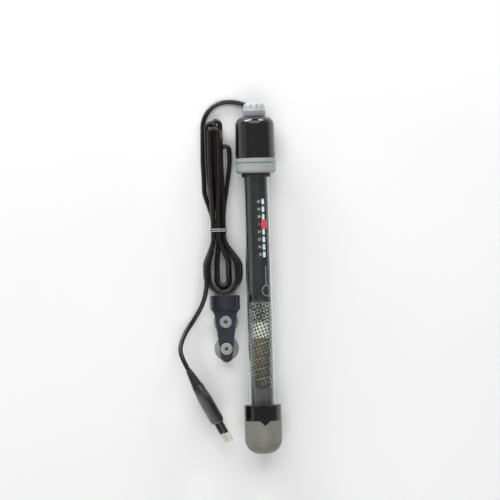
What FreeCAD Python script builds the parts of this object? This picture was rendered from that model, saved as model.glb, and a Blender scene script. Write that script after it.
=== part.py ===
import FreeCAD, Part
import math
import os

# A submersible glass tube heater for an aquarium, lying on its back beside its folded supply
# cord, its plug and its suction cup holder. Millimetres. The heater's axis is the Y axis, the
# dial is at +Y, the scale looks up along +Z, and the surface it lies on is at z = FLOOR.

V = FreeCAD.Vector
ALONG = V(0, 1, 0)
UP = V(0, 0, 1)

# Clearances
SLIP = 0.1            # between fixed pieces that slide together at assembly
RUN = 0.06            # radial, shaft in its hole
FREE = 0.3            # between pieces that move past each other
TOUCH = 0.1           # between the closed contacts

# Glass tube
TUBE_R = 11.0
TUBE_WALL = 0.9
TUBE_INNER_R = TUBE_R - TUBE_WALL
TUBE_SHOWN_TOP = 98.6
TUBE_SHOWN_BOTTOM = -98.0
TUBE_IN_HEAD = 22.4
TUBE_TOP = TUBE_SHOWN_TOP + TUBE_IN_HEAD
TUBE_IN_CAP = 26.0
TUBE_BOTTOM = TUBE_SHOWN_BOTTOM - TUBE_IN_CAP
TUBE_END_ROUND = 7.0

# End cap: a gloss ring over a soft bumper
CAP_R = 15.8
RING_LENGTH = 13.4
RING_CHAMFER = 0.6
RING_SPIGOT_WALL = 1.9
RING_SPIGOT_LENGTH = 4.6
RING_BOTTOM = TUBE_SHOWN_BOTTOM - RING_LENGTH
TAB_WIDTH = 8.4
TAB_DROP = 4.0
TAB_THICK = 1.1
TAB_SIDE = 1.8
BUMPER_LENGTH = 28.4
BUMPER_ROUND = 12.5
BUMPER_BOTTOM = RING_BOTTOM - BUMPER_LENGTH
FLOOR = -CAP_R

# Lock collar and its seal
COLLAR_R = 17.0
COLLAR_LENGTH = 12.4
COLLAR_CHAMFER = 1.5
COLLAR_GROOVE_WIDTH = 0.9
COLLAR_GROOVE_DEPTH = 0.7
COLLAR_UPPER_BAND = 3.4
COLLAR_FLOOR = 1.9
SEAL_WALL = 1.3
SEAL_LIP = 3.4
SEAL_FLANGE = 2.1
SEAL_FLANGE_HEIGHT = 2.4
COLLAR_TOP = TUBE_SHOWN_TOP + COLLAR_LENGTH

# Head
HEAD_R = 17.0
HEAD_TOP_R = 16.6
HEAD_LENGTH = 35.2
HEAD_SHOULDER = 6.8
HEAD_SKIRT_R = 14.6
HEAD_SKIRT_LENGTH = 8.0
HEAD_CAVITY_R = 12.4
HEAD_CAVITY_HEIGHT = 20.0
HEAD_GROOVE = 0.5
HEAD_GROOVE_DEPTH = 0.4
HEAD_GROOVE_AT = 4.0
HEAD_STEP_AT = 1.2
PANEL_LEFT = 9.5
PANEL_HEIGHT = 26.0
HEAD_TOP = COLLAR_TOP + HEAD_LENGTH
HEAD_CEILING = COLLAR_TOP + HEAD_CAVITY_HEIGHT

# Bung in the tube's mouth
BUNG_DEPTH = 11.0
BUNG_FLANGE = 3.0
BUNG_FLANGE_R = 12.0
BUNG_BOTTOM = TUBE_TOP - BUNG_DEPTH
BUNG_TOP = TUBE_TOP + BUNG_FLANGE

# Dial
KNOB_R = 9.6
KNOB_LENGTH = 11.8
KNOB_GAP = 0.4
KNOB_ROUND = 2.6
KNOB_FLUTES = 16
KNOB_FLUTE_R = 1.15
KNOB_SMOOTH = 5.2
KNOB_TOP_WALL = 2.2
SPINDLE_R = 2.0
SPINDLE_BOTTOM = 20.0
CLIP_R = 4.0
CLIP_THICK = 1.2
ORING_WIRE_R = 0.8
ORING_DEPTH = 3.0
KNOB_BOTTOM = HEAD_TOP + KNOB_GAP
KNOB_TOP = KNOB_BOTTOM + KNOB_LENGTH

# Scale sleeve, its windows and the pointer in front of it
SLEEVE_R = 9.5
SLEEVE_WALL = 0.5
SLEEVE_BOTTOM = -9.3
WINDOWS = 8
WINDOW_PITCH = 6.4
WINDOW_WIDTH = 3.3
WINDOW_HEIGHT = 4.8
WINDOW_ANGLE = 34.3   # from +Z towards +X
WINDOW_TOP = 74.1     # centre of the uppermost window
REST_WINDOW = 3       # windows above the one that the pointer shows
SLOT_WIDTH = 0.8
SLOT_ANGLE = 46.7
BACKING_THICK = 0.3
BACKING_GAP = 0.2
BACKING_MARGIN = 1.0
POINTER_LENGTH = 7.6
POINTER_LEFT = 20.2
POINTER_RIGHT = 50.1
POINTER_THICK = 0.3
POINTER_GAP = 0.15
POINTER_WEB = 0.5
NUT_R = 4.0
LAMP_WINDOW_R = 4.2
LAMP_WINDOW_ANGLE = 42.4
LAMP_WINDOW_AT = -1.3
POINTER_AT = WINDOW_TOP - REST_WINDOW * WINDOW_PITCH

# Chassis and switch gear inside the sleeve
CHASSIS_WIDTH = 7.0
CHASSIS_THICK = 1.2
CHASSIS_Z = -6.2      # its upper face
BEARING_THICK = 2.4
BEARING_TOP = 3.4
BLOCK_LENGTH = 7.0
BLOCK_WIDTH = 5.6
BLOCK_INSET = 2.0
BLADE_WIDTH = 4.4
BLADE_THICK = 0.45
BLADE_LENGTH = 24.0
BLADE_Z = -4.6        # its lower face
BLADE_ROOT_OVER = 3.2
CONTACT_R = 1.1
CONTACT_IN = 4.0      # from the blade's free end
RIVET_R = 1.0
RIVET_HEAD = 0.5
MAGNET_SIZE = (2.6, 2.2, 1.0)
FUSE_R = 1.7
FUSE_LENGTH = 9.0
FUSE_AT = 4.0
RESISTOR_R = 1.0
RESISTOR_LENGTH = 6.0
RESISTOR_AT = 11.0
LAMP_R = 2.3
LAMP_LENGTH = 11.0
LAMP_OFFSET = 5.2
LAMP_ANGLE = 42.0

# Heating element
DISC_THICK = 2.0
LEAD_GAUGE_R = 0.4
LEAD_LEFT = -3.6
LEAD_RIGHT = 4.5
LEAD_FRONT = 3.0
LEAD_BOW = 0.7
ELEMENT_TOP = -28.5
ELEMENT_LENGTH = 55.7
CROWN_R = 7.0
CROWN_LENGTH = 12.6
CORE_R = 6.6
COIL_WIRE_R = 0.5
COIL_PITCH = 8.5      # of each of its two strands
COIL_MARGIN = 2.0
FILM_GAP = 0.25       # between the film and the tube
FILM_WALL = 0.2
PAD_R = 9.85
PAD_LENGTH = 9.0
ELEMENT_BOTTOM = ELEMENT_TOP - ELEMENT_LENGTH
DISC_BOTTOM = SLEEVE_BOTTOM - DISC_THICK
FILM_R = TUBE_INNER_R - FILM_GAP

# Cable entry
CORD_D = 3.9
GLAND_LENGTH = 16.0
GLAND_BASE_R = 2.95
GLAND_TIP_R = 2.4
GLAND_CANT = 18.0     # degrees from +Y towards -X
GLAND_SIDE = 1.2
GLAND_OUT = 0.8       # its tip stands this far over the head's top
GLAND_DEPTH = KNOB_R + FREE + GLAND_BASE_R   # below the heater's axis
BOSS_WALL = 1.5
BOSS_BACK = 1.4
CORE_WIRE_R = 0.55
CORE_WIRE_SPREAD = 1.6
CORE_RUN_OUT = 1.6
CORE_BEND_OVER = 5.0  # above the bung
CHANNEL_BACK = 1.2    # how far the gland's channel reaches back past the gland
CORE_WIRE_DEPTH = -CHASSIS_Z - CORE_WIRE_R - SLIP / 2

# Supply cord, as it lies: its route to the hank, the hank and its route to the plug
CORD_LAID = FLOOR + CORD_D / 2
HANK_LEAD_IN = (-44.6, 88.0)
LEAD_RUN_OUT = 6.0        # straight out of the gland
LEAD_POINTS = [
    (-5.2, 156.9, -13.2), (-16.5, 160.3, -13.6), (-28.6, 160.3, CORD_LAID),
    (-38.5, 154.5, CORD_LAID), (-44.2, 144.5, CORD_LAID), (-44.5, 131.5, CORD_LAID),
    (-44.9, 118.5, CORD_LAID), (-45.1, 107.5, CORD_LAID), (-44.6, 97.5, CORD_LAID),
]
HANK_TIE_AT = 51.0
HANK_MIDDLE = -33.2
HANK_WAIST_HALF = 5.0     # straight length each side of the tie
HANK_STEP = 4.45          # across the waist, from strand to strand
HANK_LAYER = 4.35         # from layer to layer
# Each strand's place at the waist, in the order of the cord: its slot and its layer
HANK_SLOTS = [(-1, 0), (1, 0), (0, 0), (0, 1), (1, 1), (-1, 1),
              (1, 2), (-1, 2), (0, 2), (0, 3), (-1, 3)]
FOLD_R = 3.8              # centre line of the folds at the top
FOLDS = [(-34.0, 135.5), (-25.8, 118.5), (-33.1, 140.2), (-37.4, 138.2), (-35.0, 133.5)]
BEND_TOP = 60.0           # length of the bends above the waist
CLIMB_TOP = 12.5          # length of a climb on the way down from a fold
FOOT_MIDDLE = -30.5
FOOT_OUTER_R = 15.0
FOOT_OUTER_AT = 13.4
FOOT_SHRINK = 1.5         # each layer's outer foot is smaller and lower by this
FOOT_INNER_R = (5.5, 4.6)
FOOT_INNER_AT = 8.5
FOOT_TAIL = (-44.5, 14.0)
BEND_FOOT = 28.0          # length of the bends below the waist
TIE_WIDTH = 3.0
TIE_THICK = 0.7
TIE_GAP = 0.2
PLUG_ANGLE = 28.0         # from -Y towards +X
PLUG_ROLL = 14.0
PLUG_FACE = (-37.9, -112.5)
PLUG_LENGTH = 36.0
PLUG_WIDTH = 34.0
PLUG_THICK = 14.0
PLUG_EDGE = 6.0
PLUG_FLAT = 20.0
PLUG_REAR = 12.0
PLUG_TAPER = 13.0
PLUG_ROUND = 1.2
BOOT_SHOWN = 15.0
BOOT_IN = 6.0
BOOT_BASE_R = 4.8
BOOT_TIP_R = 2.7
PIN_R = 2.0
PIN_SPACING = 18.6
PIN_LENGTH = 19.0
PIN_SLEEVE = 10.0
PIN_NECK_R = 1.5
PIN_SLEEVE_R = 1.84       # a little under the bare pin, so that it slides into a socket
PIN_IN = 8.0
TAIL_RUN_OUT = 11.0       # straight out of the hank
TAIL_POINTS = [
    (-48.0, -11.0, -7.4), (-56.0, -24.5, -13.2),
    (-64.6, -36.0, -11.0), (-69.2, -48.0, -3.6),
]
TAIL_RUN_IN = 11.0

# Suction cup holder
HOLDER_X = -29.3
HOLDER_TOP = -4.7
HOLDER_LENGTH = 57.0
HOLDER_CLIP_LENGTH = 12.0
HOLDER_LEDGE = 3.6
HOLDER_WIDTH = 24.0
HOLDER_SHOULDER = 19.0
HOLDER_TIP = 10.0
HOLDER_PLATE = 2.6
HOLDER_BORE_R = TUBE_R - 0.1
HOLDER_CLIP_WALL = 1.7
HOLDER_MOUTH = 58.0       # half angle of the clip's opening
HOLDER_SADDLE = 14.0      # width of the block under the clip's ring
CUP_R = 10.5
CUP_HEIGHT = 7.6
CUP_SKIRT = 1.1
CUP_HOLLOW = 2.4
CUP_STEM_R = 2.6
CUP_NECK_R = 4.4
CUP_BUTTON_R = 3.7
CUP_BUTTON = 1.6
CUP_FIRST = 22.5          # from the holder's top to the first cup
CUP_PITCH = 23.0
PLATE_Z = FLOOR + CUP_HEIGHT
BORE_Z = PLATE_Z + HOLDER_PLATE + SLIP + CUP_BUTTON + FREE + TUBE_R   # a tube clears the cups


def rod(radius, y0, y1, x=0.0, z=0.0):
    """A cylinder along Y."""
    return Part.makeCylinder(radius, y1 - y0, V(x, y0, z), ALONG)


def pipe(outer, inner, y0, y1):
    """A round tube about the heater's axis."""
    return rod(outer, y0, y1).cut(rod(inner, y0 - 1, y1 + 1))


def block(x0, x1, y0, y1, z0, z1):
    """A box between two corners."""
    return Part.makeBox(x1 - x0, y1 - y0, z1 - z0, V(x0, y0, z0))


def turned(points):
    """A solid turned about Y from (radius, y) points; a point of four values ends an arc."""
    edges = []
    here = V(points[0][0], points[0][1], 0)
    for point in points[1:] + points[:1]:
        there = V(point[0], point[1], 0)
        if there.distanceToPoint(here) < 1e-6:
            continue
        if len(point) == 4:
            edges.append(Part.Arc(here, V(point[2], point[3], 0), there).toShape())
        else:
            edges.append(Part.LineSegment(here, there).toShape())
        here = there
    face = Part.Face(Part.Wire(edges))
    return face.revolve(V(0, 0, 0), ALONG, 360)


def round_corner(centre_r, centre_y, radius, end, middle):
    """The end point of an arc, with its middle point, from two angles in degrees."""
    a, b = math.radians(end), math.radians(middle)
    return (centre_r + radius * math.cos(a), centre_y + radius * math.sin(a),
            centre_r + radius * math.cos(b), centre_y + radius * math.sin(b))


def at_angle(shape, degrees):
    """Turns a piece that was made facing +Z by an angle towards +X."""
    turned_piece = shape.copy()
    turned_piece.rotate(V(0, 0, 0), ALONG, degrees)
    return turned_piece


def sector(outer, inner, y0, y1, left, right):
    """A curved plate about the axis, between two angles measured from +Z towards +X."""
    half = math.radians((right - left) / 2)
    reach = 2 * outer
    wedge_points = [V(0, y0, 0), V(-reach * math.tan(half), y0, reach),
                    V(reach * math.tan(half), y0, reach), V(0, y0, 0)]
    wedge = Part.Face(Part.makePolygon(wedge_points)).extrude(V(0, y1 - y0, 0))
    return at_angle(pipe(outer, inner, y0, y1).common(wedge), (left + right) / 2)


# The glass tube and what closes it

def make_glass_tube():
    end = TUBE_END_ROUND
    outer = rod(TUBE_R, TUBE_BOTTOM, TUBE_TOP)
    outer = outer.makeFillet(end, [outer.Edges[2]])
    inner = rod(TUBE_INNER_R, TUBE_BOTTOM + TUBE_WALL, TUBE_TOP + 1)
    inner = inner.makeFillet(end - TUBE_WALL, [inner.Edges[2]])
    return outer.cut(inner)


def make_tube_seal():
    lip_r = TUBE_R + SEAL_WALL
    bore = TUBE_R + SLIP / 2
    flange_bottom = TUBE_SHOWN_TOP + COLLAR_FLOOR + SLIP
    flange_top = flange_bottom + SEAL_FLANGE_HEIGHT
    lip_bottom = TUBE_SHOWN_TOP - SEAL_LIP
    return turned([
        (bore, lip_bottom), (lip_r - 0.5, lip_bottom), (lip_r, lip_bottom + 0.8),
        (lip_r, flange_bottom), (lip_r + SEAL_FLANGE, flange_bottom),
        (lip_r + SEAL_FLANGE, flange_top), (bore, flange_top),
    ])


def make_lock_collar():
    bore = TUBE_R + SEAL_WALL + SLIP
    thread_r = HEAD_SKIRT_R + SLIP
    base, top = TUBE_SHOWN_TOP, COLLAR_TOP
    groove_top = top - COLLAR_UPPER_BAND
    groove_bottom = groove_top - COLLAR_GROOVE_WIDTH
    return turned([
        (bore, base), (COLLAR_R - COLLAR_CHAMFER, base), (COLLAR_R, base + COLLAR_CHAMFER),
        (COLLAR_R, groove_bottom), (COLLAR_R - COLLAR_GROOVE_DEPTH, groove_bottom),
        (COLLAR_R - COLLAR_GROOVE_DEPTH, groove_top), (COLLAR_R, groove_top),
        (COLLAR_R, top), (thread_r, top), (thread_r, base + COLLAR_FLOOR),
        (bore, base + COLLAR_FLOOR),
    ])


def back_flat(shape):
    """Cuts the shallow flat along the back of the head and collar, which rests on the floor."""
    below = block(-2 * HEAD_R, 2 * HEAD_R, TUBE_SHOWN_TOP - 5, KNOB_TOP, FLOOR - HEAD_R, FLOOR)
    return shape.cut(below)


def gland_line():
    """The gland's base point, tip point and direction."""
    cant = math.radians(GLAND_CANT)
    direction = V(-math.sin(cant), math.cos(cant), 0)
    tip = V(GLAND_SIDE, HEAD_TOP + GLAND_OUT, -GLAND_DEPTH)
    return tip - direction * GLAND_LENGTH, tip, direction


def make_head_cap():
    top_r = HEAD_TOP_R
    skirt_bottom = COLLAR_TOP - HEAD_SKIRT_LENGTH
    step_r = HEAD_R - HEAD_GROOVE_DEPTH
    shoulder = HEAD_TOP - HEAD_SHOULDER
    round_end = round_corner(top_r - HEAD_SHOULDER, shoulder, HEAD_SHOULDER, 90, 45)
    body = turned([
        (0, skirt_bottom), (HEAD_SKIRT_R, skirt_bottom), (HEAD_SKIRT_R, COLLAR_TOP),
        (step_r, COLLAR_TOP), (step_r, COLLAR_TOP + HEAD_STEP_AT),
        (HEAD_R, COLLAR_TOP + HEAD_STEP_AT + 0.3), (top_r, shoulder), round_end, (0, HEAD_TOP),
    ])
    base, tip, direction = gland_line()
    boss = Part.makeCylinder(GLAND_BASE_R + BOSS_WALL, GLAND_LENGTH - BOSS_BACK, base, direction)
    body = body.fuse(boss)
    cavity = rod(HEAD_CAVITY_R, skirt_bottom - 1, HEAD_CEILING)
    bore = rod(SPINDLE_R + RUN, HEAD_CEILING - 1, HEAD_TOP + 1)
    seat_top = HEAD_TOP - ORING_DEPTH
    seat = rod(SPINDLE_R + 2 * ORING_WIRE_R + SLIP, seat_top - 2 * ORING_WIRE_R, seat_top)
    gland_hole = Part.makeCone(GLAND_BASE_R + SLIP / 2, GLAND_TIP_R + SLIP / 2,
                               GLAND_LENGTH, base, direction)
    inward = V(-base.x, -GLAND_BASE_R, -base.z).normalize()
    channel = Part.makeCylinder(GLAND_BASE_R, GLAND_DEPTH / 2 + CHANNEL_BACK,
                                base - inward * CHANNEL_BACK, inward)
    for cutter in (cavity, bore, seat, gland_hole, channel):
        body = body.cut(cutter)
    return back_flat(body.cut(panel_grooves()))


def panel_grooves():
    """The line round the head's foot and the line beside the cable column."""
    at = COLLAR_TOP + HEAD_GROOVE_AT
    outside = 2 * HEAD_R
    ring = pipe(outside, HEAD_R - HEAD_GROOVE_DEPTH - 0.1, at, at + HEAD_GROOVE)
    ring = ring.common(block(-outside, outside, at, at + HEAD_GROOVE, 0, outside))
    column = block(-PANEL_LEFT - HEAD_GROOVE, -PANEL_LEFT, at, at + PANEL_HEIGHT, 0, outside)
    column = column.cut(rod(HEAD_TOP_R - HEAD_GROOVE_DEPTH, at - 1, at + PANEL_HEIGHT + 1))
    return ring.fuse(column)


def make_bung():
    plug = rod(TUBE_INNER_R - SLIP / 2, BUNG_BOTTOM, TUBE_TOP)
    flange = rod(BUNG_FLANGE_R, TUBE_TOP, BUNG_TOP)
    bung = plug.fuse(flange).removeSplitter()
    bung = bung.cut(rod(SPINDLE_R + FREE, BUNG_BOTTOM - 1, BUNG_TOP + 1))
    for side in (-1, 1):
        hole = rod(CORE_WIRE_R + RUN, BUNG_BOTTOM - 1, BUNG_TOP + 1,
                   side * CORE_WIRE_SPREAD, -CORE_WIRE_DEPTH)
        bung = bung.cut(hole)
    return bung


def make_end_ring():
    bore = TUBE_R + SLIP
    spigot_r = bore + RING_SPIGOT_WALL
    top, bottom = TUBE_SHOWN_BOTTOM, RING_BOTTOM
    ring = turned([
        (bore, top), (CAP_R - RING_CHAMFER, top), (CAP_R, top - RING_CHAMFER), (CAP_R, bottom),
        (spigot_r, bottom), (spigot_r, bottom - RING_SPIGOT_LENGTH),
        (bore, bottom - RING_SPIGOT_LENGTH),
    ])
    return ring.fuse(tab_shape(0.0)).removeSplitter()


def tab_shape(grow):
    """The ring's pointed tab, which lies in a notch of the bumper."""
    half, drop = TAB_WIDTH / 2 + grow, TAB_DROP + grow
    corners = [V(TAB_SIDE - half, RING_BOTTOM, 0), V(TAB_SIDE, RING_BOTTOM - drop, 0),
               V(TAB_SIDE + half, RING_BOTTOM, 0), V(TAB_SIDE - half, RING_BOTTOM, 0)]
    prism = Part.Face(Part.makePolygon(corners)).extrude(UP * (2 * CAP_R))
    band = pipe(CAP_R + grow, CAP_R - TAB_THICK - grow, RING_BOTTOM - 2 * drop, RING_BOTTOM)
    return prism.common(band)


def make_end_bumper():
    bore = TUBE_R + SLIP
    spigot_bore = bore + RING_SPIGOT_WALL + SLIP
    spigot_floor = RING_BOTTOM - RING_SPIGOT_LENGTH - SLIP
    bore_floor = TUBE_BOTTOM - SLIP
    outer = CAP_R - SLIP
    centre_y = BUMPER_BOTTOM + BUMPER_ROUND
    centre_r = outer - BUMPER_ROUND
    bumper = turned([
        (spigot_bore, RING_BOTTOM), (spigot_bore, spigot_floor), (bore, spigot_floor),
        (bore, bore_floor), (0, bore_floor), (0, BUMPER_BOTTOM), (centre_r, BUMPER_BOTTOM),
        round_corner(centre_r, centre_y, BUMPER_ROUND, 0, -45), (outer, RING_BOTTOM),
    ])
    return bumper.cut(tab_shape(SLIP))


# The dial, its spindle and the pointer that it drives

def make_knob():
    bottom, top = KNOB_BOTTOM, KNOB_TOP
    waist = KNOB_R - 0.3
    shoulder = top - KNOB_ROUND
    knob = turned([
        (0, bottom), (KNOB_R, bottom), (waist, bottom + KNOB_SMOOTH), (waist, shoulder),
        round_corner(waist - KNOB_ROUND, shoulder, KNOB_ROUND, 90, 45), (0, top),
    ])
    knob = knob.cut(rod(SPINDLE_R + RUN / 2, bottom - 1, top - KNOB_TOP_WALL))
    for i in range(KNOB_FLUTES):
        angle = 2 * math.pi * i / KNOB_FLUTES
        x, z = (KNOB_R + 0.2) * math.sin(angle), (KNOB_R + 0.2) * math.cos(angle)
        start = bottom + KNOB_SMOOTH + KNOB_FLUTE_R
        flute = rod(KNOB_FLUTE_R, start, top + 1, x, z)
        flute = flute.fuse(Part.makeSphere(KNOB_FLUTE_R, V(x, start, z)))
        knob = knob.cut(flute)
    return knob


def make_spindle():
    top = KNOB_TOP - KNOB_TOP_WALL - SLIP
    return rod(SPINDLE_R, SPINDLE_BOTTOM, top)


def make_spindle_clip():
    top = HEAD_CEILING - FREE
    return pipe(CLIP_R, SPINDLE_R + RUN / 2, top - CLIP_THICK, top)


def make_spindle_oring():
    middle = SPINDLE_R + RUN + ORING_WIRE_R
    at = HEAD_TOP - ORING_DEPTH - ORING_WIRE_R
    return Part.makeTorus(middle, ORING_WIRE_R - RUN / 2, V(0, at, 0), ALONG)


def make_pointer():
    half = POINTER_LENGTH / 2
    y0, y1 = POINTER_AT - half, POINTER_AT + half
    inner = SLEEVE_R + POINTER_GAP
    nut = pipe(NUT_R, SPINDLE_R + RUN, y0, y1)
    web = block(-POINTER_WEB / 2, POINTER_WEB / 2, y0, y1, NUT_R - 0.5, inner + POINTER_THICK / 2)
    plate = sector(inner + POINTER_THICK, inner, y0, y1, POINTER_LEFT, POINTER_RIGHT)
    return nut.fuse(at_angle(web, SLOT_ANGLE)).fuse(plate).removeSplitter()


# The scale sleeve and what shows through it

def window_centres():
    return [WINDOW_TOP - i * WINDOW_PITCH for i in range(WINDOWS)]


def make_scale_sleeve():
    sleeve = pipe(SLEEVE_R, SLEEVE_R - SLEEVE_WALL, SLEEVE_BOTTOM, BUNG_BOTTOM)
    half_w, half_h = WINDOW_WIDTH / 2, WINDOW_HEIGHT / 2
    for y in window_centres():
        hole = block(-half_w, half_w, y - half_h, y + half_h, SLEEVE_R / 2, 2 * SLEEVE_R)
        sleeve = sleeve.cut(at_angle(hole, WINDOW_ANGLE))
    reach = POINTER_LENGTH / 2 + FREE
    low, high = window_centres()[-1] - reach, window_centres()[0] + reach
    slot = block(-SLOT_WIDTH / 2, SLOT_WIDTH / 2, low, high, SLEEVE_R / 2, 2 * SLEEVE_R)
    sleeve = sleeve.cut(at_angle(slot, SLOT_ANGLE))
    return sleeve.cut(lamp_hole(LAMP_WINDOW_R))


def lamp_hole(radius):
    """A round peg through the sleeve where the pilot lamp shows."""
    peg = Part.makeCylinder(radius, SLEEVE_R, V(0, LAMP_WINDOW_AT, SLEEVE_R / 2), UP)
    return at_angle(peg, LAMP_WINDOW_ANGLE)


def make_lamp_window():
    shell = pipe(SLEEVE_R, SLEEVE_R - SLEEVE_WALL, SLEEVE_BOTTOM, BUNG_BOTTOM)
    return shell.common(lamp_hole(LAMP_WINDOW_R - SLIP / 2))


def make_scale_backing():
    outer = SLEEVE_R - SLEEVE_WALL - BACKING_GAP
    half = math.degrees((WINDOW_WIDTH / 2 + BACKING_MARGIN) / outer)
    left, right = WINDOW_ANGLE - half, min(WINDOW_ANGLE + half, SLOT_ANGLE - 3.4)
    low = window_centres()[-1] - WINDOW_HEIGHT / 2 - BACKING_MARGIN
    high = window_centres()[0] + WINDOW_HEIGHT / 2 + BACKING_MARGIN
    return sector(outer, outer - BACKING_THICK, low, high, left, right)


# Chassis, thermostat, lamp and fuse

def make_chassis():
    half = CHASSIS_WIDTH / 2
    return block(-half, half, SLEEVE_BOTTOM, BUNG_BOTTOM, CHASSIS_Z - CHASSIS_THICK, CHASSIS_Z)


def make_spindle_bearing():
    half = CHASSIS_WIDTH / 2
    y0 = SPINDLE_BOTTOM + SLIP
    plate = block(-half, half, y0, y0 + BEARING_THICK, CHASSIS_Z, BEARING_TOP)
    return plate.cut(rod(SPINDLE_R + RUN, y0 - 1, y0 + BEARING_THICK + 1))


def blade_root():
    """y of the blade's pivot line, at the inner edge of the terminal block's clamp."""
    return BUNG_BOTTOM - BLOCK_INSET - BLOCK_LENGTH + BLADE_ROOT_OVER


def make_terminal_block():
    half = BLOCK_WIDTH / 2
    y1 = BUNG_BOTTOM - BLOCK_INSET
    return block(-half, half, y1 - BLOCK_LENGTH, y1, CHASSIS_Z, BLADE_Z - TOUCH)


def make_bimetal_strip():
    half = BLADE_WIDTH / 2
    y1 = blade_root()
    return block(-half, half, y1 - BLADE_LENGTH, y1, BLADE_Z, BLADE_Z + BLADE_THICK)


def contact_y():
    return blade_root() - BLADE_LENGTH + CONTACT_IN


def make_moving_contact():
    gap_middle = (CHASSIS_Z + BLADE_Z) / 2 + TOUCH / 2
    return Part.makeCylinder(CONTACT_R, BLADE_Z - gap_middle, V(0, contact_y(), gap_middle), UP)


def make_fixed_contact():
    gap_middle = (CHASSIS_Z + BLADE_Z) / 2 - TOUCH / 2
    height = gap_middle - CHASSIS_Z
    return Part.makeCylinder(CONTACT_R, height, V(0, contact_y(), CHASSIS_Z), UP)


def make_blade_rivet():
    at = V(0, blade_root() - BLADE_ROOT_OVER / 2, BLADE_Z + BLADE_THICK)
    return Part.makeCylinder(RIVET_R, RIVET_HEAD, at, UP)


def make_contact_magnet():
    length, width, height = MAGNET_SIZE
    y0 = blade_root() - BLADE_LENGTH - SLIP
    return block(-width / 2, width / 2, y0 - length / 2, y0 + length / 2,
                 CHASSIS_Z, CHASSIS_Z + height)


def make_thermal_fuse():
    y0 = FUSE_AT - FUSE_LENGTH / 2
    return rod(FUSE_R, y0, y0 + FUSE_LENGTH, 0, CHASSIS_Z + FUSE_R)


def make_lamp_resistor():
    y0 = RESISTOR_AT
    return rod(RESISTOR_R, y0, y0 + RESISTOR_LENGTH, 0, CHASSIS_Z + RESISTOR_R)


def make_pilot_lamp():
    angle = math.radians(LAMP_ANGLE)
    x, z = LAMP_OFFSET * math.sin(angle), LAMP_OFFSET * math.cos(angle)
    glass = rod(LAMP_R, SLEEVE_BOTTOM, SLEEVE_BOTTOM + LAMP_LENGTH, x, z)
    tip = Part.makeSphere(LAMP_R, V(x, SLEEVE_BOTTOM + LAMP_LENGTH, z))
    return glass.fuse(tip).removeSplitter()


# Heating element

def make_element_disc():
    return rod(TUBE_INNER_R - FREE, DISC_BOTTOM, SLEEVE_BOTTOM)


def make_element_leads():
    return Part.Compound([lead_wire(LEAD_LEFT, -1), lead_wire(LEAD_RIGHT, 1)])


def lead_wire(x, side):
    """One bare wire with a slight bow, from the disc to the element."""
    top, bottom = V(x, DISC_BOTTOM, LEAD_FRONT), V(x, ELEMENT_TOP, LEAD_FRONT)
    middle = (top + bottom) * 0.5 + V(side * LEAD_BOW, 0, 0)
    path = Part.Wire(Part.Arc(top, middle, bottom).toShape())
    tangent = path.Edges[0].tangentAt(path.Edges[0].FirstParameter)
    return sweep(path, LEAD_GAUGE_R, top, tangent)


def make_element_core():
    crown_bottom = ELEMENT_TOP - CROWN_LENGTH
    crown = rod(CROWN_R, crown_bottom, ELEMENT_TOP)
    core = rod(CORE_R, ELEMENT_BOTTOM, crown_bottom)
    foot = rod(CROWN_R, ELEMENT_BOTTOM, ELEMENT_BOTTOM + COIL_MARGIN)
    return crown.fuse(core).fuse(foot).removeSplitter()


def make_heating_coil():
    """The wire's two strands, down the core and back up, as the winding shows them."""
    return Part.Compound([coil_strand(0), coil_strand(2)])


def coil_strand(first_quarter):
    y0 = ELEMENT_BOTTOM + 2 * COIL_MARGIN
    height = ELEMENT_TOP - CROWN_LENGTH - COIL_MARGIN - y0
    radius = CORE_R + COIL_WIRE_R + SLIP / 2
    quarters = int(4 * height / COIL_PITCH)
    path, tangent = helix(radius, y0, quarters, first_quarter)
    return sweep(path, COIL_WIRE_R, path.Edges[0].valueAt(path.Edges[0].FirstParameter), tangent)


def helix(radius, y0, quarters, first_quarter):
    """A path of quarter turns about Y, each of two arcs that share their tangent."""
    rise = COIL_PITCH / 4
    slope = math.atan2(COIL_PITCH, 2 * math.pi * radius)
    edges = []

    def place(i):
        angle = math.pi / 2 * (i + first_quarter)
        point = V(radius * math.sin(angle), y0 + rise * i, radius * math.cos(angle))
        level = V(math.cos(angle), 0, -math.sin(angle))
        return point, level * math.cos(slope) + ALONG * math.sin(slope)

    for i in range(quarters):
        (a, way_a), (b, way_b) = place(i), place(i + 1)
        chord, ways = b - a, way_a + way_b
        c2 = 2 * (1 - way_a.dot(way_b))
        c1 = 2 * chord.dot(ways)
        reach = (math.sqrt(c1 * c1 + 4 * c2 * chord.dot(chord)) - c1) / (2 * c2)
        knee_a, knee_b = a + way_a * reach, b - way_b * reach
        joint = (knee_a + knee_b) * 0.5
        edges.append(arc_by_knee(a, knee_a, joint))
        edges.append(arc_by_knee(joint, knee_b, b))
    return Part.Wire(edges), place(0)[1]


def arc_by_knee(start, knee, end):
    """The arc between two points whose tangents there meet at the knee."""
    middle = (start + end) * 0.5
    half_chord = (end - start).Length / 2
    half_turn = math.atan2((knee - middle).Length, half_chord)
    rise = half_chord * math.tan(half_turn / 2)
    return Part.Arc(start, middle + (knee - middle).normalize() * rise, end).toShape()


def make_dotted_film():
    return pipe(FILM_R, FILM_R - FILM_WALL, ELEMENT_BOTTOM, DISC_BOTTOM)


def make_end_pad():
    return rod(PAD_R, ELEMENT_BOTTOM - PAD_LENGTH, ELEMENT_BOTTOM)


# Cable entry and cord

def sweep(path, radius, start, tangent):
    """A round tube along a wire of arcs and lines."""
    profile = Part.Wire(Part.Edge(Part.Circle(start, tangent, radius)))
    return path.makePipeShell([profile], True, False)


def make_cord_gland():
    base, tip, direction = gland_line()
    return Part.makeCone(GLAND_BASE_R, GLAND_TIP_R, GLAND_LENGTH, base, direction)


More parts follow.
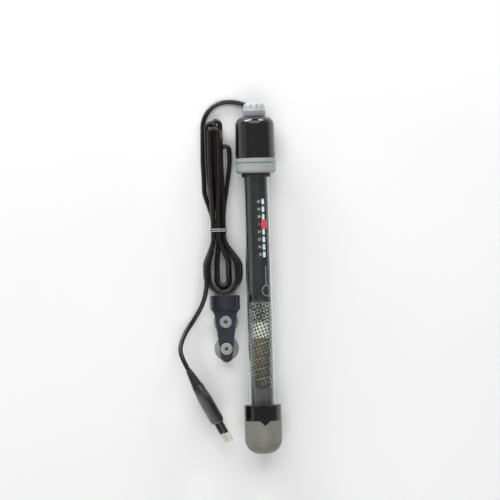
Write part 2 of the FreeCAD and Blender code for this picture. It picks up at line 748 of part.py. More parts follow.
def make_supply_cores():
    """The cord's two cores, from the gland through the bung to the terminal block."""
    base, tip, direction = gland_line()
    across = direction.cross(UP)
    cores = []
    for side in (-1, 1):
        x, z = side * CORE_WIRE_SPREAD, -CORE_WIRE_DEPTH
        inlet = base + across * (side * 2 * CORE_WIRE_R)
        points = [inlet, inlet - direction * CORE_RUN_OUT,
                  V(x, BUNG_TOP + CORE_BEND_OVER, z), V(x, BUNG_BOTTOM - BLOCK_INSET, z)]
        path = rounded_route(points, "supply_cores")
        cores.append(sweep(path, CORE_WIRE_R, inlet, direction * -1))
    return Part.Compound(cores)


def rounded_route(points, name):
    """Straight runs joined by tangent arcs, each as large as its two runs allow."""
    edges, here, radii = [], points[0], []
    for before, corner, after in zip(points, points[1:], points[2:]):
        into, out = (corner - before), (after - corner)
        half_turn = into.getAngle(out) / 2
        cut = 0.45 * min(into.Length, out.Length)
        radius = cut / math.tan(half_turn)
        start = corner - V(into).normalize() * cut
        end = corner + V(out).normalize() * cut
        bisector = (V(out).normalize() - V(into).normalize()).normalize()
        middle = corner + bisector * (radius / math.cos(half_turn) - radius)
        edges.append(Part.LineSegment(here, start).toShape())
        edges.append(Part.Arc(start, middle, end).toShape())
        radii.append(round(radius, 1))
        here = end
    edges.append(Part.LineSegment(here, points[-1]).toShape())
    print(name, "arc radii", radii)
    return Part.Wire(edges)


def make_cord(points, name):
    path = rounded_route(points, name)
    tube = sweep(path, CORD_D / 2, points[0], points[1] - points[0])
    wanted = math.pi * (CORD_D / 2) ** 2 * path.Length
    print(name, "length", round(path.Length, 1), "volume ratio", round(tube.Volume / wanted, 4))
    return tube


def lead_route():
    end = V(HANK_LEAD_IN[0], HANK_LEAD_IN[1], CORD_LAID)
    base, tip, direction = gland_line()
    return [tip, tip + direction * LEAD_RUN_OUT] + [V(*p) for p in LEAD_POINTS] + [end]


class Strand:
    """A path that grows by arcs, each leaving the last one along Y."""

    def __init__(self, start, heading):
        self.edges = []
        self.here = start
        self.way = ALONG * heading

    def bend_to(self, x, y, z):
        """An S of two equal arcs to a point, leaving and arriving along Y."""
        goal = V(x, y, z)
        along = (goal - self.here).dot(self.way) / 2
        side = (goal - self.here - self.way * 2 * along) * 0.5
        if side.Length < 1e-6:
            self.straight_to(y)
            return
        radius = (along ** 2 + side.Length ** 2) / (2 * side.Length)
        turn = math.atan2(side.Length, along)
        step = self.way * (radius * math.sin(turn))
        step += V(side).normalize() * (radius * (1 - math.cos(turn)))
        halfway = self.here + self.way * along + side
        self.edges.append(Part.Arc(self.here, self.here + step, halfway).toShape())
        self.edges.append(Part.Arc(halfway, goal - step, goal).toShape())
        self.here = goal

    def straight_to(self, y):
        goal = V(self.here.x, y, self.here.z)
        if goal.distanceToPoint(self.here) > 1e-6:
            self.edges.append(Part.LineSegment(self.here, goal).toShape())
            self.here = goal

    def turn_back(self, x):
        """A half turn in its layer to another x, as two quarter turns."""
        radius = (x - self.here.x) / 2
        centre = self.here + V(radius, 0, 0)
        top = centre + self.way * abs(radius)
        lean = math.sqrt(0.5)
        for start_sign in (-1, 1):
            start = self.here if start_sign < 0 else top
            end = top if start_sign < 0 else centre + V(radius, 0, 0)
            middle = centre + self.way * (abs(radius) * lean) + V(start_sign * radius * lean, 0, 0)
            self.edges.append(Part.Arc(start, middle, end).toShape())
        self.here = centre + V(radius, 0, 0)
        self.way = self.way * -1


def hank_path():
    """Five loops in four layers, drawn in at the tie, as one line from lead to tail."""
    lift = TIE_THICK + TIE_GAP
    above, below = HANK_TIE_AT + HANK_WAIST_HALF, HANK_TIE_AT - HANK_WAIST_HALF
    strand = Strand(V(HANK_LEAD_IN[0], HANK_LEAD_IN[1], CORD_LAID), -1)
    inner_feet = 0

    def height(layer):
        return CORD_LAID + layer * HANK_LAYER

    def waist(number, y):
        slot, layer = HANK_SLOTS[number]
        strand.bend_to(HANK_MIDDLE + slot * HANK_STEP, y, height(layer) + lift)

    for number in range(0, len(HANK_SLOTS) - 1, 2):
        slot, layer = HANK_SLOTS[number]
        next_slot, next_layer = HANK_SLOTS[number + 1]
        waist(number, above)
        strand.straight_to(below)
        radius = FOOT_OUTER_R - layer * FOOT_SHRINK
        foot_y = FOOT_OUTER_AT - layer * FOOT_SHRINK
        side = 1 if next_slot > slot else -1
        if next_slot == slot:
            radius, foot_y, side = FOOT_INNER_R[inner_feet], FOOT_INNER_AT, 1
            inner_feet += 1
        bend_end = below - BEND_FOOT
        strand.bend_to(FOOT_MIDDLE - side * radius, bend_end, height(layer))
        strand.straight_to(foot_y)
        strand.turn_back(FOOT_MIDDLE + side * radius)
        strand.bend_to(FOOT_MIDDLE + side * radius, bend_end, height(next_layer))
        waist(number + 1, below)
        strand.straight_to(above)
        over_the_top(strand, number, height)
    waist(len(HANK_SLOTS) - 1, above)
    strand.straight_to(below)
    strand.bend_to(FOOT_TAIL[0], FOOT_TAIL[1], height(HANK_SLOTS[-1][1]))
    return strand


def over_the_top(strand, number, height):
    """From the waist up to a fold and back down, climbing if the next strand lies higher."""
    up_slot, up_layer = HANK_SLOTS[number + 1]
    down_slot, down_layer = HANK_SLOTS[number + 2]
    middle, fold_y = FOLDS[number // 2]
    side = 1 if down_slot > up_slot else -1
    bend_end = HANK_TIE_AT + HANK_WAIST_HALF + BEND_TOP
    strand.bend_to(middle - side * FOLD_R, bend_end, height(up_layer))
    strand.straight_to(fold_y)
    strand.turn_back(middle + side * FOLD_R)
    if down_layer != up_layer:
        strand.bend_to(middle + side * FOLD_R, fold_y - CLIMB_TOP, height(down_layer))
    strand.straight_to(bend_end)


def own_gap(path, spacing=0.8):
    """The least gap between a tube's turns, measured on points of its centre line."""
    count = int(path.Length / spacing)
    points = path.discretize(Number=count)
    skip = int(2.2 * CORD_D / spacing)
    least, place = min(
        (a.distanceToPoint(b), (round(a.x, 1), round(a.y, 1), round(a.z, 1)))
        for i, a in enumerate(points) for b in points[i + skip:]
        if abs(a.x - b.x) < 2 * CORD_D and abs(a.y - b.y) < 2 * CORD_D
    )
    return round(least - CORD_D, 2), place


def make_hank():
    strand = hank_path()
    path = Part.Wire(strand.edges)
    start = V(HANK_LEAD_IN[0], HANK_LEAD_IN[1], CORD_LAID)
    tube = sweep(path, CORD_D / 2, start, V(0, -1, 0))
    wanted = math.pi * (CORD_D / 2) ** 2 * path.Length
    print("cord_hank length", round(path.Length, 1), "volume ratio",
          round(tube.Volume / wanted, 4), "least gap and its place", own_gap(path))
    return tube, strand.here


def make_cord_tie():
    slots = [slot for slot, layer in HANK_SLOTS]
    top_layer = max(layer for slot, layer in HANK_SLOTS)
    inner_w = (max(slots) - min(slots)) * HANK_STEP + CORD_D + 2 * TIE_GAP
    inner_h = top_layer * HANK_LAYER + CORD_D + 2 * TIE_GAP
    bottom = FLOOR + TIE_THICK
    y0 = HANK_TIE_AT - TIE_WIDTH / 2

    def slab(grow):
        half = inner_w / 2 + grow
        solid = block(HANK_MIDDLE - half, HANK_MIDDLE + half, y0, y0 + TIE_WIDTH,
                      bottom - grow, bottom + inner_h + grow)
        along_y = [e for e in solid.Edges if abs(e.tangentAt(e.FirstParameter).y) > 0.9]
        return solid.makeFillet(CORD_D / 2 + grow, along_y)

    return slab(TIE_THICK).cut(slab(0.0))


# Plug

def plug_height():
    """z of the plug's axis, with its lower edge on the floor."""
    roll = math.radians(PLUG_ROLL)
    edge = PLUG_WIDTH / 2 * math.cos(roll) + PLUG_EDGE / 2 * math.sin(roll)
    return FLOOR + edge


def plug_frame():
    """The plug's face point and its directions: out along the pins, wide way and thin way."""
    angle, roll = math.radians(PLUG_ANGLE), math.radians(PLUG_ROLL)
    out = V(math.sin(angle), -math.cos(angle), 0)
    flat = V(math.cos(angle), math.sin(angle), 0)
    wide = UP * math.cos(roll) + flat * math.sin(roll)
    thin = wide.cross(out)
    return V(PLUG_FACE[0], PLUG_FACE[1], plug_height()), out, wide, thin


def plug_section(back, half_w, half_t, half_edge, half_flat):
    """A six sided outline with cut corners, a given way behind the plug's face."""
    face, out, wide, thin = plug_frame()
    corners = [(half_w, half_edge), (half_flat, half_t), (-half_flat, half_t),
               (-half_w, half_edge), (-half_w, -half_edge), (-half_flat, -half_t),
               (half_flat, -half_t), (half_w, -half_edge)]
    points = [face - out * back + wide * w + thin * t for w, t in corners]
    return Part.makePolygon(points + points[:1])


def make_plug_body():
    front = plug_section(0, PLUG_WIDTH / 2, PLUG_THICK / 2, PLUG_EDGE / 2, PLUG_FLAT / 2)
    straight = plug_section(PLUG_LENGTH - PLUG_TAPER, PLUG_WIDTH / 2, PLUG_THICK / 2,
                            PLUG_EDGE / 2, PLUG_FLAT / 2)
    rear = plug_section(PLUG_LENGTH, PLUG_REAR / 2, PLUG_REAR / 2,
                        PLUG_REAR / 4, PLUG_REAR / 4)
    body = Part.makeLoft([front, straight], True, True)
    body = body.fuse(Part.makeLoft([straight, rear], True, True)).removeSplitter()
    body = body.makeFillet(PLUG_ROUND, body.Edges)
    face, out, wide, thin = plug_frame()
    for side in (-1, 1):
        at = face + wide * (side * PIN_SPACING / 2)
        body = body.cut(Part.makeCylinder(PIN_NECK_R, PIN_IN, at - out * PIN_IN, out))
    return body.cut(boot_cone(SLIP / 2, BOOT_IN))


def boot_cone(grow, depth_in):
    """The tapered sleeve that the cord goes into, at the plug's rear."""
    face, out, wide, thin = plug_frame()
    start = face - out * (PLUG_LENGTH + BOOT_SHOWN)
    rear = face - out * PLUG_LENGTH
    shown = Part.makeCone(BOOT_TIP_R + grow, BOOT_BASE_R + grow, BOOT_SHOWN, start, out)
    inside = Part.makeCylinder(BOOT_BASE_R + grow - 0.6, depth_in, rear, out)
    return shown.fuse(inside)


def make_plug_boot():
    return boot_cone(0.0, BOOT_IN - SLIP)


def make_plug_pins():
    face, out, wide, thin = plug_frame()
    pins = []
    for side in (-1, 1):
        at = face + wide * (side * PIN_SPACING / 2)
        neck = Part.makeCylinder(PIN_NECK_R, PIN_IN + PIN_SLEEVE, at - out * PIN_IN, out)
        bare = PIN_LENGTH - PIN_SLEEVE - PIN_R
        tip = Part.makeCylinder(PIN_R, bare, at + out * PIN_SLEEVE, out)
        nose = Part.makeSphere(PIN_R, at + out * (PIN_LENGTH - PIN_R))
        pins.append(neck.fuse(tip).fuse(nose).removeSplitter())
    return Part.Compound(pins)


def make_pin_sleeves():
    face, out, wide, thin = plug_frame()
    sleeves = []
    for side in (-1, 1):
        at = face + wide * (side * PIN_SPACING / 2)
        outer = Part.makeCylinder(PIN_SLEEVE_R, PIN_SLEEVE, at, out)
        sleeves.append(outer.cut(Part.makeCylinder(PIN_NECK_R, PIN_SLEEVE, at, out)))
    return Part.Compound(sleeves)


def tail_route(start):
    face, out, wide, thin = plug_frame()
    end = face - out * (PLUG_LENGTH + BOOT_SHOWN)
    points = [start, start - ALONG * TAIL_RUN_OUT] + [V(*p) for p in TAIL_POINTS]
    return points + [end - out * TAIL_RUN_IN, end]


# Holder

def make_holder_frame():
    top, half = HOLDER_TOP, HOLDER_WIDTH / 2
    clip_end = top - HOLDER_CLIP_LENGTH
    ledge_end = clip_end - HOLDER_LEDGE
    bottom = top - HOLDER_LENGTH
    tip = HOLDER_TIP / 2
    outline = [(-half, top), (half, top), (half, clip_end), (HOLDER_SHOULDER / 2, ledge_end),
               (tip, bottom + tip), (-tip, bottom + tip), (-HOLDER_SHOULDER / 2, ledge_end),
               (-half, clip_end), (-half, top)]
    wire = Part.makePolygon([V(HOLDER_X + x, y, PLATE_Z) for x, y in outline])
    plate = Part.Face(wire).extrude(UP * HOLDER_PLATE)
    nose = Part.makeCylinder(tip, HOLDER_PLATE, V(HOLDER_X, bottom + tip, PLATE_Z), UP)
    outer = rod(HOLDER_BORE_R + HOLDER_CLIP_WALL, clip_end, top, HOLDER_X, BORE_Z)
    saddle = block(HOLDER_X - HOLDER_SADDLE / 2, HOLDER_X + HOLDER_SADDLE / 2, clip_end, top,
                   PLATE_Z, BORE_Z - HOLDER_BORE_R + 1)
    frame = plate.fuse(nose).fuse(outer).fuse(saddle)
    frame = frame.cut(rod(HOLDER_BORE_R, clip_end - 1, top + 1, HOLDER_X, BORE_Z))
    reach = 3 * HOLDER_WIDTH
    mouth = math.tan(math.radians(HOLDER_MOUTH)) * reach
    corners = [V(HOLDER_X, clip_end - 1, BORE_Z), V(HOLDER_X - mouth, clip_end - 1, BORE_Z + reach),
               V(HOLDER_X + mouth, clip_end - 1, BORE_Z + reach), V(HOLDER_X, clip_end - 1, BORE_Z)]
    opening = Part.Face(Part.makePolygon(corners)).extrude(V(0, HOLDER_CLIP_LENGTH + 2, 0))
    frame = frame.cut(opening)
    for y in cup_places():
        hole = Part.makeCylinder(CUP_STEM_R + SLIP / 2, 3 * HOLDER_PLATE,
                                 V(HOLDER_X, y, PLATE_Z - HOLDER_PLATE), UP)
        frame = frame.cut(hole)
    return frame.removeSplitter()


def cup_places():
    first = HOLDER_TOP - CUP_FIRST
    return [first, first - CUP_PITCH]


def make_suction_cup(y):
    """One cup: a thin skirt with a hollow under it, a stem and a button over the plate."""
    stem_top = CUP_HEIGHT + HOLDER_PLATE + SLIP
    skirt_in = CUP_R - CUP_SKIRT
    cup = turned([
        (skirt_in, 0), (CUP_R, 0), (CUP_R, CUP_SKIRT / 2), (CUP_NECK_R, CUP_HEIGHT - 1.4),
        (CUP_NECK_R, CUP_HEIGHT), (CUP_STEM_R, CUP_HEIGHT), (CUP_STEM_R, stem_top),
        (CUP_BUTTON_R, stem_top), (CUP_BUTTON_R - 0.9, stem_top + CUP_BUTTON),
        (0, stem_top + CUP_BUTTON), (0, CUP_HOLLOW),
    ])
    cup.rotate(V(0, 0, 0), V(1, 0, 0), 90)
    cup.translate(V(HOLDER_X, y, FLOOR))
    return cup


def make_suction_cups():
    return Part.Compound([make_suction_cup(y) for y in cup_places()])


def main():
    hank, hank_end = make_hank()
    pieces = {
        "dial_knob": make_knob(),
        "dial_spindle": make_spindle(),
        "spindle_clip": make_spindle_clip(),
        "spindle_oring": make_spindle_oring(),
        "temperature_pointer": make_pointer(),
        "head_cap": make_head_cap(),
        "cord_gland": make_cord_gland(),
        "supply_cores": make_supply_cores(),
        "tube_bung": make_bung(),
        "lock_collar": back_flat(make_lock_collar()),
        "tube_seal": make_tube_seal(),
        "glass_tube": make_glass_tube(),
        "scale_sleeve": make_scale_sleeve(),
        "scale_backing": make_scale_backing(),
        "lamp_window": make_lamp_window(),
        "chassis": make_chassis(),
        "spindle_bearing": make_spindle_bearing(),
        "terminal_block": make_terminal_block(),
        "bimetal_strip": make_bimetal_strip(),
        "moving_contact": make_moving_contact(),
        "blade_rivet": make_blade_rivet(),
        "fixed_contact": make_fixed_contact(),
        "contact_magnet": make_contact_magnet(),
        "thermal_fuse": make_thermal_fuse(),
        "lamp_resistor": make_lamp_resistor(),
        "pilot_lamp": make_pilot_lamp(),
        "element_disc": make_element_disc(),
        "element_leads": make_element_leads(),
        "element_core": make_element_core(),
        "heating_coil": make_heating_coil(),
        "dotted_film": make_dotted_film(),
        "end_pad": make_end_pad(),
        "end_ring": make_end_ring(),
        "end_bumper": make_end_bumper(),
        "supply_lead": make_cord(lead_route(), "supply_lead"),
        "cord_hank": hank,
        "cord_tail": make_cord(tail_route(hank_end), "cord_tail"),
        "cord_tie": make_cord_tie(),
        "plug_body": make_plug_body(),
        "plug_boot": make_plug_boot(),
        "plug_pins": make_plug_pins(),
        "pin_sleeves": make_pin_sleeves(),
        "holder_frame": make_holder_frame(),
        "suction_cups": make_suction_cups(),
    }
    os.makedirs("parts", exist_ok=True)
    for name, shape in pieces.items():
        if not shape.isValid() or not shape.Solids:
            print("not a valid solid:", name)
        shape.exportStep("parts/" + name + ".step")
    print(len(pieces), "nodes")


main()
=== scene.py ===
"""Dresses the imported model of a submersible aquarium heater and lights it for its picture.

The heater lies on a pale floor beside its folded cord, its plug and its suction cup holder.
Every length in this file is written in millimetres, and becomes metres where a mesh is made.
"""

from __future__ import annotations

import logging
import math
from collections.abc import Callable, Iterable
from dataclasses import dataclass, field
from enum import Enum

import bmesh
import bpy
from mathutils import Matrix, Vector

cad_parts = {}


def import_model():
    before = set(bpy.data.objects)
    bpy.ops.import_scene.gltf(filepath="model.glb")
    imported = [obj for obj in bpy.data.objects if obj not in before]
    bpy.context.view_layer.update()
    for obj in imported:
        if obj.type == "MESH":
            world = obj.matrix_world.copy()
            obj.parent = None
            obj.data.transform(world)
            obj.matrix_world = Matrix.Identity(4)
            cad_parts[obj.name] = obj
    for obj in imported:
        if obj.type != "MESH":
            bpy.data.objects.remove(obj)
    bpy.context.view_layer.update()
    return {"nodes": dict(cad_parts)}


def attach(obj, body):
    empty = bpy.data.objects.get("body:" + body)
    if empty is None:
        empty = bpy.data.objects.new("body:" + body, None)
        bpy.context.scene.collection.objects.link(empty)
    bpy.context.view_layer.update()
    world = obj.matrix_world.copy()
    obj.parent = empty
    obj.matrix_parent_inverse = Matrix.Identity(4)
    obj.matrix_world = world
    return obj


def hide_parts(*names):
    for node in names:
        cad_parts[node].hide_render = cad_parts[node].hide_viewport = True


LOG = logging.getLogger("heater")
MM = 0.001
TINY = 1e-6
AROUND = 64
SOFT_CREASE = 40.0
FLOOR = -15.8
Pair = tuple[float, float]
Point = tuple[float, float, float]
Shade = tuple[int, int, int]
Piece = bpy.types.Object
Mesh = bmesh.types.BMesh
Ring = list[bmesh.types.BMVert]
Socket = bpy.types.NodeSocket


def shade(colour: Shade) -> tuple[float, float, float, float]:
    """Turn a colour as it is seen on a screen into the linear one that shaders take.

    Args:
        colour: Red, green and blue from 0 to 255.

    Returns:
        Linear red, green and blue, and full opacity.
    """
    parts = []
    for part in colour:
        value = part / 255
        parts.append(value / 12.92 if value <= 0.04045 else ((value + 0.055) / 1.055) ** 2.4)
    return (*parts, 1.0)


# Node work


class NodeBench:
    """A node tree with short calls for laying out and wiring its nodes."""

    STEP = 190

    def __init__(self, tree: bpy.types.NodeTree) -> None:
        """Take a tree to work on."""
        self.tree = tree
        self.across = 0

    def add(self, kind: str, **values: object) -> bpy.types.Node:
        """Add a node and set its properties.

        Args:
            kind: The node's type name.
            **values: Properties of the node by name.

        Returns:
            The new node.
        """
        node = self.tree.nodes.new(kind)
        node.location = (self.across, 0)
        self.across += self.STEP
        for name, value in values.items():
            setattr(node, name, value)
        return node

    def fill(self, node: bpy.types.Node, values: dict[str | int, object]) -> bpy.types.Node:
        """Link inputs of a node to sockets, or write plain values on them.

        Args:
            node: The node.
            values: A socket, number or colour for each input, by its name or its place.

        Returns:
            The same node.
        """
        for name, value in values.items():
            if isinstance(value, Socket):
                self.tree.links.new(value, node.inputs[name])
            else:
                node.inputs[name].default_value = value
        return node

    def maths(self, what: str, first: object, second: object) -> Socket:
        """Return what a sum on two sockets or numbers gives."""
        node = self.add("ShaderNodeMath", operation=what)
        return self.fill(node, {0: first, 1: second}).outputs[0]

    def spread(self, value: Socket, between: tuple[object, object],
               becomes: tuple[object, object] = (0.0, 1.0)) -> Socket:
        """Map a value from one range to another, held inside it.

        Args:
            value: The socket to map.
            between: Where the first range starts and ends.
            becomes: What its start and its end become.

        Returns:
            The mapped value.
        """
        node = self.add("ShaderNodeMapRange", clamp=True)
        return self.fill(node, dict(enumerate((value, *between, *becomes)))).outputs[0]

    def noise(self, scale: object, detail: float = 2.0, vector: Socket | None = None,
              rough: float = 0.5) -> Socket:
        """Add a noise texture.

        Args:
            scale: How fine it is, per metre.
            detail: How many finer layers it has.
            vector: Where it is read, or nothing for the object's own coordinates.
            rough: How strong the finer layers are.

        Returns:
            The noise value, about 0.5.
        """
        node = self.fill(self.add("ShaderNodeTexNoise"), {
            "Vector": vector or self.place(), "Scale": scale, "Detail": detail,
            "Roughness": rough})
        return node.outputs["Fac"]

    def place(self) -> Socket:
        """Return the object's own coordinates, in metres."""
        return self.add("ShaderNodeTexCoord").outputs["Object"]

    def stretched(self, by: Point) -> Socket:
        """Return the object's coordinates stretched by a factor along each axis."""
        node = self.add("ShaderNodeVectorMath", operation="MULTIPLY")
        return self.fill(node, {0: self.place(), 1: by}).outputs[0]

    def mixed(self, amount: object, first: object, second: object) -> Socket:
        """Mix two colours, whose inputs are a mix node's seventh and eighth.

        Args:
            amount: Share of the second colour.
            first: The colour at 0.
            second: The colour at 1.

        Returns:
            The mixed colour.
        """
        node = self.add("ShaderNodeMix", data_type="RGBA")
        return self.fill(node, {0: amount, 6: first, 7: second}).outputs[2]

    def bump(self, height: Socket, strength: float, depth: float) -> Socket:
        """Turn a height into a normal.

        Args:
            height: The height, from 0 to 1.
            strength: How much of it shows.
            depth: How deep a height of 1 is.

        Returns:
            The normal.
        """
        node = self.fill(self.add("ShaderNodeBump"), {
            "Strength": strength, "Distance": depth * MM, "Height": height})
        return node.outputs["Normal"]


def fresh_material(name: str) -> tuple[bpy.types.Material, NodeBench, bpy.types.Node]:
    """Start a material.

    Args:
        name: Its name.

    Returns:
        The material, the bench for its nodes and its Principled shader.
    """
    material = bpy.data.materials.new(name)
    material.use_nodes = True
    tree = material.node_tree
    return material, NodeBench(tree), tree.nodes["Principled BSDF"]


class Body(Enum):
    """The bodies that the scene's own pieces ride on."""

    HEATER = "heater"
    DIAL = "dial"


class Slot(Enum):
    """The record's material slots named for the scene's own pieces, passed along but not used."""

    BLACK_PAD = "black_pad"
    BLACK_PLASTIC = "black_plastic"
    CORD_RUBBER = "cord_rubber"
    CUP_RUBBER = "cup_rubber"
    KNOB_PLASTIC = "knob_plastic"
    TIE_PLASTIC = "tie_plastic"
    WHITE_CARD = "white_card"


class Effect(Enum):
    """The effects that several finishes share, each one node group."""

    TONE_DRIFT = "tone_drift"
    MOULDED_GRAIN = "moulded_grain"
    FINE_SCUFFS = "fine_scuffs"
    SETTLED_DUST = "settled_dust"


class EffectShelf:
    """Builds each shared effect once and places it in the materials that want it."""

    CLOUD_DETAIL = 3.0
    CLOUD_SPAN = (0.3, 0.7)
    SHEEN_DETAIL = 4.0
    SHEEN_SPAN = (0.32, 0.68)
    SHEEN_COARSER = 0.05
    STREAK_DETAIL = 3.0
    STREAK_SPAN = (0.6, 0.7)
    STREAK_STRETCH = (1.0, 0.06, 1.0)
    STREAK_ROUGH = 0.7
    PATCH_SPAN = (0.45, 0.65)
    PATCH_SCALE = 90.0
    UPWARD_SPAN = (0.1, 0.9)
    SPECK_DETAIL = 5.0
    SPECK_SPAN = (0.5, 0.72)
    SPECK_SCALE = 1400.0
    SPECK_SHARE = (0.25, 1.0)
    DUST_SHADE = (150, 146, 140)

    def __init__(self) -> None:
        """Start with an empty shelf."""
        self.groups: dict[Effect, bpy.types.NodeTree] = {}

    def place(self, bench: NodeBench, effect: Effect, **values: object) -> bpy.types.NodeOutputs:
        """Put an effect's group in a material.

        Args:
            bench: The material's bench.
            effect: Which effect.
            **values: What its inputs get.

        Returns:
            The group's outputs.
        """
        if effect not in self.groups:
            getattr(self, effect.value)()
        node = bench.add("ShaderNodeGroup", node_tree=self.groups[effect])
        return bench.fill(node, values).outputs

    def start(self, effect: Effect, takes: dict[str, object], gives: dict[str, str],
              ) -> tuple[NodeBench, bpy.types.NodeOutputs, bpy.types.Node]:
        """Open a new group with its named sockets, and put it on the shelf.

        Args:
            effect: Which effect the group is for.
            takes: Input names, each with its plain value, a number or a colour.
            gives: Output names, each with its socket type.

        Returns:
            The group's bench, what its inputs bring and its output node.
        """
        tree = bpy.data.node_groups.new(effect.value, "ShaderNodeTree")
        self.groups[effect] = tree
        for name, value in takes.items():
            kind = "NodeSocketFloat" if isinstance(value, float) else "NodeSocketColor"
            socket = tree.interface.new_socket(name, in_out="INPUT", socket_type=kind)
            socket.default_value = value
        for name, kind in gives.items():
            tree.interface.new_socket(name, in_out="OUTPUT", socket_type=kind)
        bench = NodeBench(tree)
        return bench, bench.add("NodeGroupInput").outputs, bench.add("NodeGroupOutput")

    def tone_drift(self) -> None:
        """Build the slow change of tone that cast and moulded surfaces have."""
        bench, takes, gives = self.start(
            Effect.TONE_DRIFT, {"Colour": (0.5, 0.5, 0.5, 1.0), "Amount": 0.1, "Scale": 120.0},
            {"Colour": "NodeSocketColor"})
        cloud = bench.noise(takes["Scale"], self.CLOUD_DETAIL)
        swing = bench.spread(cloud, self.CLOUD_SPAN, (-1.0, 1.0))
        gain = bench.maths("ADD", bench.maths("MULTIPLY", swing, takes["Amount"]), 1.0)
        scaled = bench.fill(bench.add("ShaderNodeVectorMath", operation="SCALE"),
                            {0: takes["Colour"], "Scale": gain})
        bench.fill(gives, {"Colour": scaled.outputs[0]})

    def moulded_grain(self) -> None:
        """Build the fine grain and the wandering sheen of moulded plastic and rubber."""
        bench, takes, gives = self.start(
            Effect.MOULDED_GRAIN, {"Scale": 3000.0, "Least": 0.3, "Most": 0.5},
            {"Height": "NodeSocketFloat", "Roughness": "NodeSocketFloat"})
        coarser = bench.maths("MULTIPLY", takes["Scale"], self.SHEEN_COARSER)
        slow = bench.noise(coarser, self.SHEEN_DETAIL)
        sheen = bench.spread(slow, self.SHEEN_SPAN, (takes["Least"], takes["Most"]))
        bench.fill(gives, {"Height": bench.noise(takes["Scale"]), "Roughness": sheen})

    def fine_scuffs(self) -> None:
        """Build thin rubbed streaks that make the surface duller where they run."""
        bench, takes, gives = self.start(
            Effect.FINE_SCUFFS, {"Roughness": 0.4, "Amount": 0.2, "Scale": 600.0},
            {"Roughness": "NodeSocketFloat"})
        along = bench.noise(takes["Scale"], self.STREAK_DETAIL,
                            bench.stretched(self.STREAK_STRETCH), self.STREAK_ROUGH)
        streaks = bench.spread(along, self.STREAK_SPAN)
        patches = bench.spread(bench.noise(self.PATCH_SCALE), self.PATCH_SPAN)
        mask = bench.maths("MULTIPLY", streaks, patches)
        added = bench.maths("MULTIPLY", mask, takes["Amount"])
        bench.fill(gives, {"Roughness": bench.maths("ADD", added, takes["Roughness"])})

    def settled_dust(self) -> None:
        """Build the pale film that settles on what faces up."""
        bench, takes, gives = self.start(
            Effect.SETTLED_DUST, {"Colour": (0.1, 0.1, 0.1, 1.0), "Amount": 0.1},
            {"Colour": "NodeSocketColor"})
        normal = bench.add("ShaderNodeNewGeometry").outputs["Normal"]
        facing = bench.fill(bench.add("ShaderNodeSeparateXYZ"), {0: normal})
        upward = bench.spread(facing.outputs[2], self.UPWARD_SPAN)
        speckle = bench.noise(self.SPECK_SCALE, self.SPECK_DETAIL)
        specks = bench.spread(speckle, self.SPECK_SPAN, self.SPECK_SHARE)
        amount = bench.maths("MULTIPLY", bench.maths("MULTIPLY", upward, specks),
                             takes["Amount"])
        dusty = bench.mixed(amount, takes["Colour"], shade(self.DUST_SHADE))
        bench.fill(gives, {"Colour": dusty})


@dataclass(frozen=True)
class Finish:
    """A surface as it looks: its colour, its gloss and the marks of how it was made."""

    INDEX = 1.46
    COAT_ROUGHNESS = 0.12
    BUMP_STRENGTH = 0.6

    name: str
    colour: Shade
    rough: Pair = (0.35, 0.5)
    metallic: float = 0.0
    drift: float = 0.12
    drift_size: float = 9.0
    grain_size: float = 0.35
    grain_depth: float = 0.012
    scuffs: float = 0.1
    dust: float = 0.05
    coat: float = 0.0
    sheen: float = 0.0
    transmission: float = 0.0

    def made(self, shelf: EffectShelf) -> bpy.types.Material:
        """Build the material.

        Args:
            shelf: Where the shared effects come from.

        Returns:
            The finished material.
        """
        material, bench, shader = fresh_material(self.name)
        grain = shelf.place(bench, Effect.MOULDED_GRAIN, Scale=1 / (self.grain_size * MM),
                            Least=self.rough[0], Most=self.rough[1])
        rubbed = shelf.place(bench, Effect.FINE_SCUFFS, Roughness=grain["Roughness"],
                             Amount=self.scuffs)
        relief = self.relief(bench, grain["Height"])
        bench.fill(shader, {
            "Metallic": self.metallic, "IOR": self.INDEX, "Coat Weight": self.coat,
            "Coat Roughness": self.COAT_ROUGHNESS, "Sheen Weight": self.sheen,
            "Transmission Weight": self.transmission, "Base Color": self.tinted(bench, shelf),
            "Roughness": rubbed["Roughness"],
            "Normal": bench.bump(relief, self.BUMP_STRENGTH, self.grain_depth),
        })
        return material

    def drifting(self, bench: NodeBench, shelf: EffectShelf, colour: object) -> Socket:
        """Return a colour with the finish's drift of tone."""
        return shelf.place(bench, Effect.TONE_DRIFT, Colour=colour, Amount=self.drift,
                           Scale=1 / (self.drift_size * MM))["Colour"]

    def tinted(self, bench: NodeBench, shelf: EffectShelf) -> Socket:
        """Return the colour with its drift of tone and its dust."""
        tone = self.drifting(bench, shelf, shade(self.colour))
        return shelf.place(bench, Effect.SETTLED_DUST, Colour=tone, Amount=self.dust)["Colour"]

    def relief(self, bench: NodeBench, grain: Socket) -> Socket:
        """Return the height that the bump takes, here the grain alone."""
        return grain


@dataclass(frozen=True)
class TurnedFinish(Finish):
    """Metal turned on a lathe, with fine rings along the heater's axis."""

    RING_STRETCH = (0.02, 1.0, 0.02)

    ring_size: float = 0.25
    grain_share: float = 0.3

    def relief(self, bench: NodeBench, grain: Socket) -> Socket:
        """Return the grain with the lathe's rings added."""
        rings = bench.noise(1 / (self.ring_size * MM), 2.0, bench.stretched(self.RING_STRETCH))
        return bench.maths("ADD", rings, bench.maths("MULTIPLY", grain, self.grain_share))


